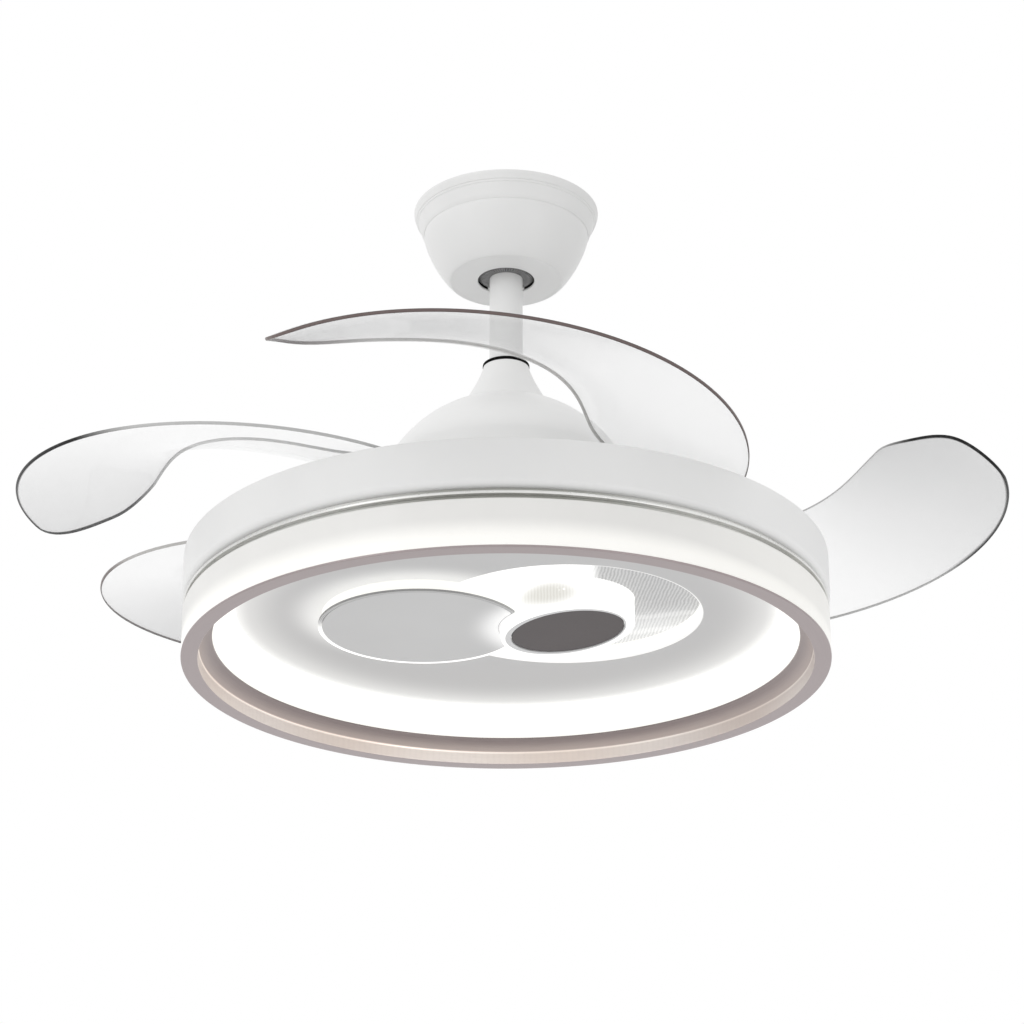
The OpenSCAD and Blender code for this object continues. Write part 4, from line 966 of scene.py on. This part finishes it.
def bladeTurn(i):
    reach, angle = blade["hinge"]
    angle = radians(angle)
    spot = Matrix.Translation((reach * cos(angle), reach * sin(angle), 0.0))
    return (Matrix.Rotation(radians(-blade["step"] * i), 4, "Z") @ spot
            @ Matrix.Rotation(radians(blade["open"][i]), 4, "Z"))


def bladeMesh():
    n, m, t = blade["cellsAlong"], blade["cellsAcross"], blade["thick"] / 2
    soft, rimRows = blade["soft"], blade["rimRows"]
    grid = {}
    for i in range(n + 1):
        for j in range(m + 1):
            v = (1 - cos(pi * j / m)) / 2
            s = i / n * tipEnd(v)
            grid[i, j] = (s, v, bladeSkin(s, v), skinNormal(s, v))
    loop = edgeKeys(n, m)
    outward = {}
    for k, key in enumerate(loop):
        ahead, behind = grid[loop[(k + 1) % len(loop)]][2], grid[loop[k - 1]][2]
        side = (ahead - behind).cross(grid[key][3]).normalized()
        centre = grid[min(max(key[0], 1), n - 1), min(max(key[1], 1), m - 1)][2]
        outward[key] = side if side.dot(grid[key][2] - centre) > 0 else -side
    bm = bmesh.new()
    uvLayer = bm.loops.layers.uv.new("bladeUv")
    rimLayer = bm.verts.layers.float.new("rim")  # millimetres from the outline
    faces, verts, uv = [], {}, {}
    broad, long = blade["span"]
    for face, sign in (("top", 1), ("low", -1)):
        for key, (s, v, p, normal) in grid.items():
            spot = p + normal * t * sign
            if key in outward:
                spot = spot - outward[key] * soft
            vert = verts[face, key] = bm.verts.new(spot)
            uv[vert] = (s, v)
            vert[rimLayer] = min(v * broad, (1 - v) * broad, (tipEnd(v) - s) * long)
    for face in ("top", "low"):
        for i in range(n):
            for j in range(m):
                faces.append((bm.faces.new((verts[face, (i, j)], verts[face, (i + 1, j)],
                                            verts[face, (i + 1, j + 1)], verts[face, (i, j + 1)])), 0))
    rows = [[verts["top", key] for key in loop]]
    for k in range(1, rimRows):
        a = radians(90 - 180 * k / rimRows)
        row = []
        for key in loop:
            s, v, p, normal = grid[key]
            vert = bm.verts.new(p + normal * t * sin(a) + outward[key] * soft * (cos(a) - 1))
            uv[vert] = (s, v)
            row.append(vert)
        rows.append(row)
    rows.append([verts["low", key] for key in loop])
    for one, two in zip(rows, rows[1:]):
        for k in range(len(loop)):
            j = (k + 1) % len(loop)
            faces.append((bm.faces.new((one[k], one[j], two[j], two[k])), 1))
    for face, index in faces:
        face.material_index = index
        for corner in face.loops:
            corner[uvLayer].uv = uv[corner.vert]
    return meshOf(bm, "bladeShape")


def bladePieces():
    shape = bladeMesh()
    for i in range(blade["count"]):
        mesh = shape.copy()
        for name in ("depth", "veil", "line", "start"):  # values that the finishes read, which paint each blade's own light and shade
            mark = mesh.attributes.new(name, "FLOAT", "POINT")
            mark.data.foreach_set("value", [blade[name][i]] * len(mesh.vertices))
        mesh.transform(bladeTurn(i))
        settle(mesh, f"blade{i + 1}Panel", ["acrylic", blade["edges"][i]], f"blade_{i + 1}_panel",
               f"blade_{i + 1}", angle=60.0)


bladePieces()
print("blades done")


# blade arms

arm = {"thick": 3.4, "width": 20.0, "hub": 13.0, "hubLow": 88.5, "hubTall": 17.5, "neck": 8.0, "neckTop": 120.0,
       "bore": 5.05, "padStart": 0.80, "padEnd": 0.46, "padDepth": 0.14, "barTop": 98.0, "gap": 0.3,
       "barCells": 26, "padCells": 12, "acrossCells": 10}


def padPoint(t, u, lift):
    return skinOff(arm["padDepth"] * u, arm["padStart"] + (arm["padEnd"] - arm["padStart"]) * t,
                   -blade["thick"] / 2 - arm["gap"] - lift)


def armMesh():
    g = arm
    aim = padPoint(0.0, 0.5, g["thick"] / 2)
    angle = atan2(aim.y, aim.x)
    c, s = cos(angle), sin(angle)

    def rootPoint(u, lift):
        w = 0.8 * g["width"] * (0.5 - u)
        return Vector((0.75 * g["hub"] * c - w * s, 0.75 * g["hub"] * s + w * c, g["barTop"] - lift))

    def barPoint(t, u, lift):
        a, b, k = rootPoint(0.5, lift), padPoint(0.0, 0.5, lift), t * t * (3 - 2 * t)
        middle = Vector((a.x + (b.x - a.x) * t, a.y + (b.y - a.y) * t, a.z + (b.z - a.z) * k))
        return middle + (rootPoint(u, lift) - a) * (1 - k) + (padPoint(0.0, u, lift) - b) * k

    def at(i, j, lift):
        u = j / g["acrossCells"]
        return barPoint(i / g["barCells"], u, lift) if i <= g["barCells"] else \
            padPoint((i - g["barCells"]) / g["padCells"], u, lift)

    bm = bmesh.new()
    n, m = g["barCells"] + g["padCells"], g["acrossCells"]
    sheets = [[[bm.verts.new(at(i, j, lift)) for j in range(m + 1)] for i in range(n + 1)]
              for lift in (0.0, g["thick"])]
    for sheet in sheets:
        for i in range(n):
            for j in range(m):
                bm.faces.new((sheet[i][j], sheet[i + 1][j], sheet[i + 1][j + 1], sheet[i][j + 1]))
    loop = edgeKeys(n, m)
    for k in range(len(loop)):
        (a, b), (c2, d) = loop[k], loop[(k + 1) % len(loop)]
        bm.faces.new((sheets[0][a][b], sheets[0][c2][d], sheets[1][c2][d], sheets[1][a][b]))
    bmesh.ops.recalc_face_normals(bm, faces=bm.faces)
    edges = [e for e in bm.edges if len(e.link_faces) == 2
             and e.link_faces[0].normal.angle(e.link_faces[1].normal) > radians(50)]
    bmesh.ops.bevel(bm, geom=edges, offset=0.7, segments=3, profile=0.6, affect="EDGES", clamp_overlap=True)
    bar = meshOf(bm, "armBar", aim=False)
    hubTop = g["hubLow"] + g["hubTall"]
    hub = turnedMesh("armHub", [(g["bore"], g["hubLow"], 0.5), (g["hub"], g["hubLow"], 0.8), (g["hub"], hubTop, 1.2),
                                (g["neck"], hubTop, 0.6), (g["neck"], g["neckTop"], 0.5),
                                (g["bore"], g["neckTop"], 0.5)], steps=64)
    bm = bmesh.new()
    bm.from_mesh(bar)
    bm.from_mesh(hub)
    return meshOf(bm, "armShape", aim=False)


def armPieces():
    shape = armMesh()
    for i in range(blade["count"]):
        mesh = shape.copy()
        mesh.transform(bladeTurn(i))
        settle(mesh, f"blade{i + 1}Arm", "cast", f"blade_{i + 1}_arm", f"blade_{i + 1}", angle=45.0)


armPieces()
print("blade arms done")


# screws and springs, by Geometry Nodes

screws = {"headRadius": 3.1, "headHeight": 1.9, "slotWidth": 0.75, "slotDepth": 1.0, "washerRadius": 4.3,
          "blade": ((0.24, 0.30), (0.76, 0.30), (0.50, 0.74)), "bladeSize": 0.88, "canopySize": 1.3,
          "canopyReach": 67.2, "canopyDrop": 10.0}


def screwShape(name, washer=True):  # cross-head screw: top at +Z, seat on the plane z = 0
    h, steps, low = screws, 32, 0.0
    r, high = h["headRadius"], h["headHeight"]
    bm = bmesh.new()
    rows = [(r, 0.0)] + [(r * cos(a), high * (0.45 + 0.55 * sin(a))) for a in
                         [radians(q) for q in (8, 25, 42, 58, 70, 80)]]
    if washer:
        rows = [(h["washerRadius"], 0.0), (h["washerRadius"], 0.55), (r + 0.1, 0.62)] + \
               [(x, z + 0.6) for x, z in rows[1:]]
        low = 0.6
    rings = []
    for x, z in rows:
        ring = []
        for i in range(steps):
            a = 2 * pi * i / steps
            px, py = x * cos(a), x * sin(a)
            inCross = min(abs(px), abs(py)) < h["slotWidth"] / 2 and x < r * 0.72
            ring.append(bm.verts.new((px, py, z - (h["slotDepth"] if inCross else 0.0))))
        rings.append(ring)
    joinRows(bm, rings, closed=False)
    tip = bm.verts.new((0.0, 0.0, low + high - h["slotDepth"]))
    for i in range(steps):
        bm.faces.new((rings[-1][i], rings[-1][(i + 1) % steps], tip))
    bm.faces.new(list(reversed(rings[0])))
    mesh = meshOf(bm, name)
    mesh.polygons.foreach_set("use_smooth", [True] * len(mesh.polygons))
    mesh.set_sharp_from_angle(angle=radians(40))
    return placed(name, mesh)


def spread(name, proto, spots, size, body, node=None):  # one copy of proto at each (place, direction)
    points = bpy.data.meshes.new(name)
    points.from_pydata([tuple(p) for p, d in spots], [], [])
    aim = points.attributes.new("aim", "FLOAT_VECTOR", "POINT")
    aim.data.foreach_set("vector", [c for p, d in spots for c in Vector(d).normalized()])
    kit, given = geometryTree(name + "Tree", piece="Object", size="Float", finish="Material")
    places = kit.get("GeometryNodeMeshToPoints", sockets={"Mesh": given["Geometry"]})
    direction = kit.get("GeometryNodeInputNamedAttribute", {"data_type": "FLOAT_VECTOR"}, {"Name": "aim"})
    turn = kit.get("FunctionNodeAlignRotationToVector", {"axis": "Z"}, {"Vector": direction})
    source = kit.make("GeometryNodeObjectInfo", {"transform_space": "ORIGINAL"}, {"Object": given["piece"]})
    made = kit.get("GeometryNodeInstanceOnPoints", sockets={"Points": places, "Instance": source.outputs["Geometry"],
                                                            "Rotation": turn, "Scale": given["size"]})
    mesh = grown(name, points, kit, given, made, piece=proto, size=size, finish=look["brightSteel"])
    settle(mesh, name, "brightSteel", node, body, weighted=False)


def screwPieces():
    washerScrew = screwShape("washerScrew")
    plainScrew = screwShape("plainScrew", washer=False)
    for i in range(blade["count"]):  # three through each blade's root into its arm, heads above
        turn = bladeTurn(i)
        spots = []
        for t, u in screws["blade"]:
            v = arm["padStart"] + (arm["padEnd"] - arm["padStart"]) * t
            s = arm["padDepth"] * u
            spots.append((turn @ skinOff(s, v, blade["thick"] / 2 - 0.05), turn.to_3x3() @ skinNormal(s, v)))
        spread(f"blade{i + 1}Screws", washerScrew, spots, screws["bladeSize"], f"blade_{i + 1}")
    heads = [((s * screws["canopyReach"], 0.0, fanDrop - screws["canopyDrop"]), (s, 0.0, 0.0)) for s in (-1, 1)]
    spread("canopyScrewHeads", plainScrew, heads, screws["canopySize"], "ceiling_mount", "canopy_screws")
    for proto in (washerScrew, plainScrew):
        bpy.data.objects.remove(proto)


springs = {"wire": 1.8, "radius": 9.5, "turns": 4.5, "pitch": 2.3, "top": 119.0}


def springPieces():
    g = springs
    reach, angle = blade["hinge"]
    spots = bpy.data.meshes.new("hingeSpots")
    angles = [radians(angle - blade["step"] * i) for i in range(blade["count"])]
    spots.from_pydata([(reach * cos(a), reach * sin(a), g["top"] - g["turns"] * g["pitch"])
                       for a in angles], [], [])
    kit, given = geometryTree("springTree", turns="Float", radius="Float", pitch="Float", wire="Float",
                              finish="Material")
    path = kit.get("GeometryNodeCurveSpiral", sockets={"Resolution": 28, "Rotations": given["turns"],
                                                       "Start Radius": given["radius"], "End Radius": given["radius"],
                                                       "Height": given["turns"] * given["pitch"]})
    ring = kit.get("GeometryNodeCurvePrimitiveCircle", sockets={"Resolution": 10, "Radius": given["wire"] * 0.5})
    tube = kit.get("GeometryNodeCurveToMesh", sockets={"Curve": path, "Profile Curve": ring, "Fill Caps": True})
    smooth = kit.get("GeometryNodeSetShadeSmooth", sockets={"Geometry": tube})
    points = kit.get("GeometryNodeMeshToPoints", sockets={"Mesh": given["Geometry"]})
    made = kit.get("GeometryNodeInstanceOnPoints", sockets={"Points": points, "Instance": smooth})
    mesh = grown("hingeSprings", spots, kit, given, made, finish=look["brightSteel"], **g)
    settle(mesh, "hingeSprings", "brightSteel", "return_springs", "rotor", angle=70.0, weighted=False)


screwPieces()
springPieces()
print("screws and springs done")


# finishes of the carried-over nodes

nodeFinishes = {
    "bracket": ["ceiling_bracket"], "steel": ["yoke", "lamp_carrier", "rotor_plate", "blade_tray", "led_plate"],
    "brightSteel": ["ball_pin", "clevis_pin", "yoke_screw", "motor_shaft", "shaft_nut", "carrier_screws",
                    "plate_screws", "motor_bearings", "hinge_posts", "case_screws", "stator_core"],
    "cast": ["rotor_case_upper", "rotor_case_lower"], "copper": ["stator_coils"], "magnet": ["magnet_ring"],
    "rubber": ["lead_bundle", "hub_washers", "rubber_buffers"],
    "plastic": ["receiver_box", "led_boards", "led_driver"], "glow": ["disc_diffuser"],
}
for finish, names in nodeFinishes.items():
    for name in names:
        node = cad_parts[name]
        for place in node.material_slots:
            place.material = look[finish]
        if not node.material_slots:
            node.data.materials.append(look[finish])
print("carried-over nodes dressed")
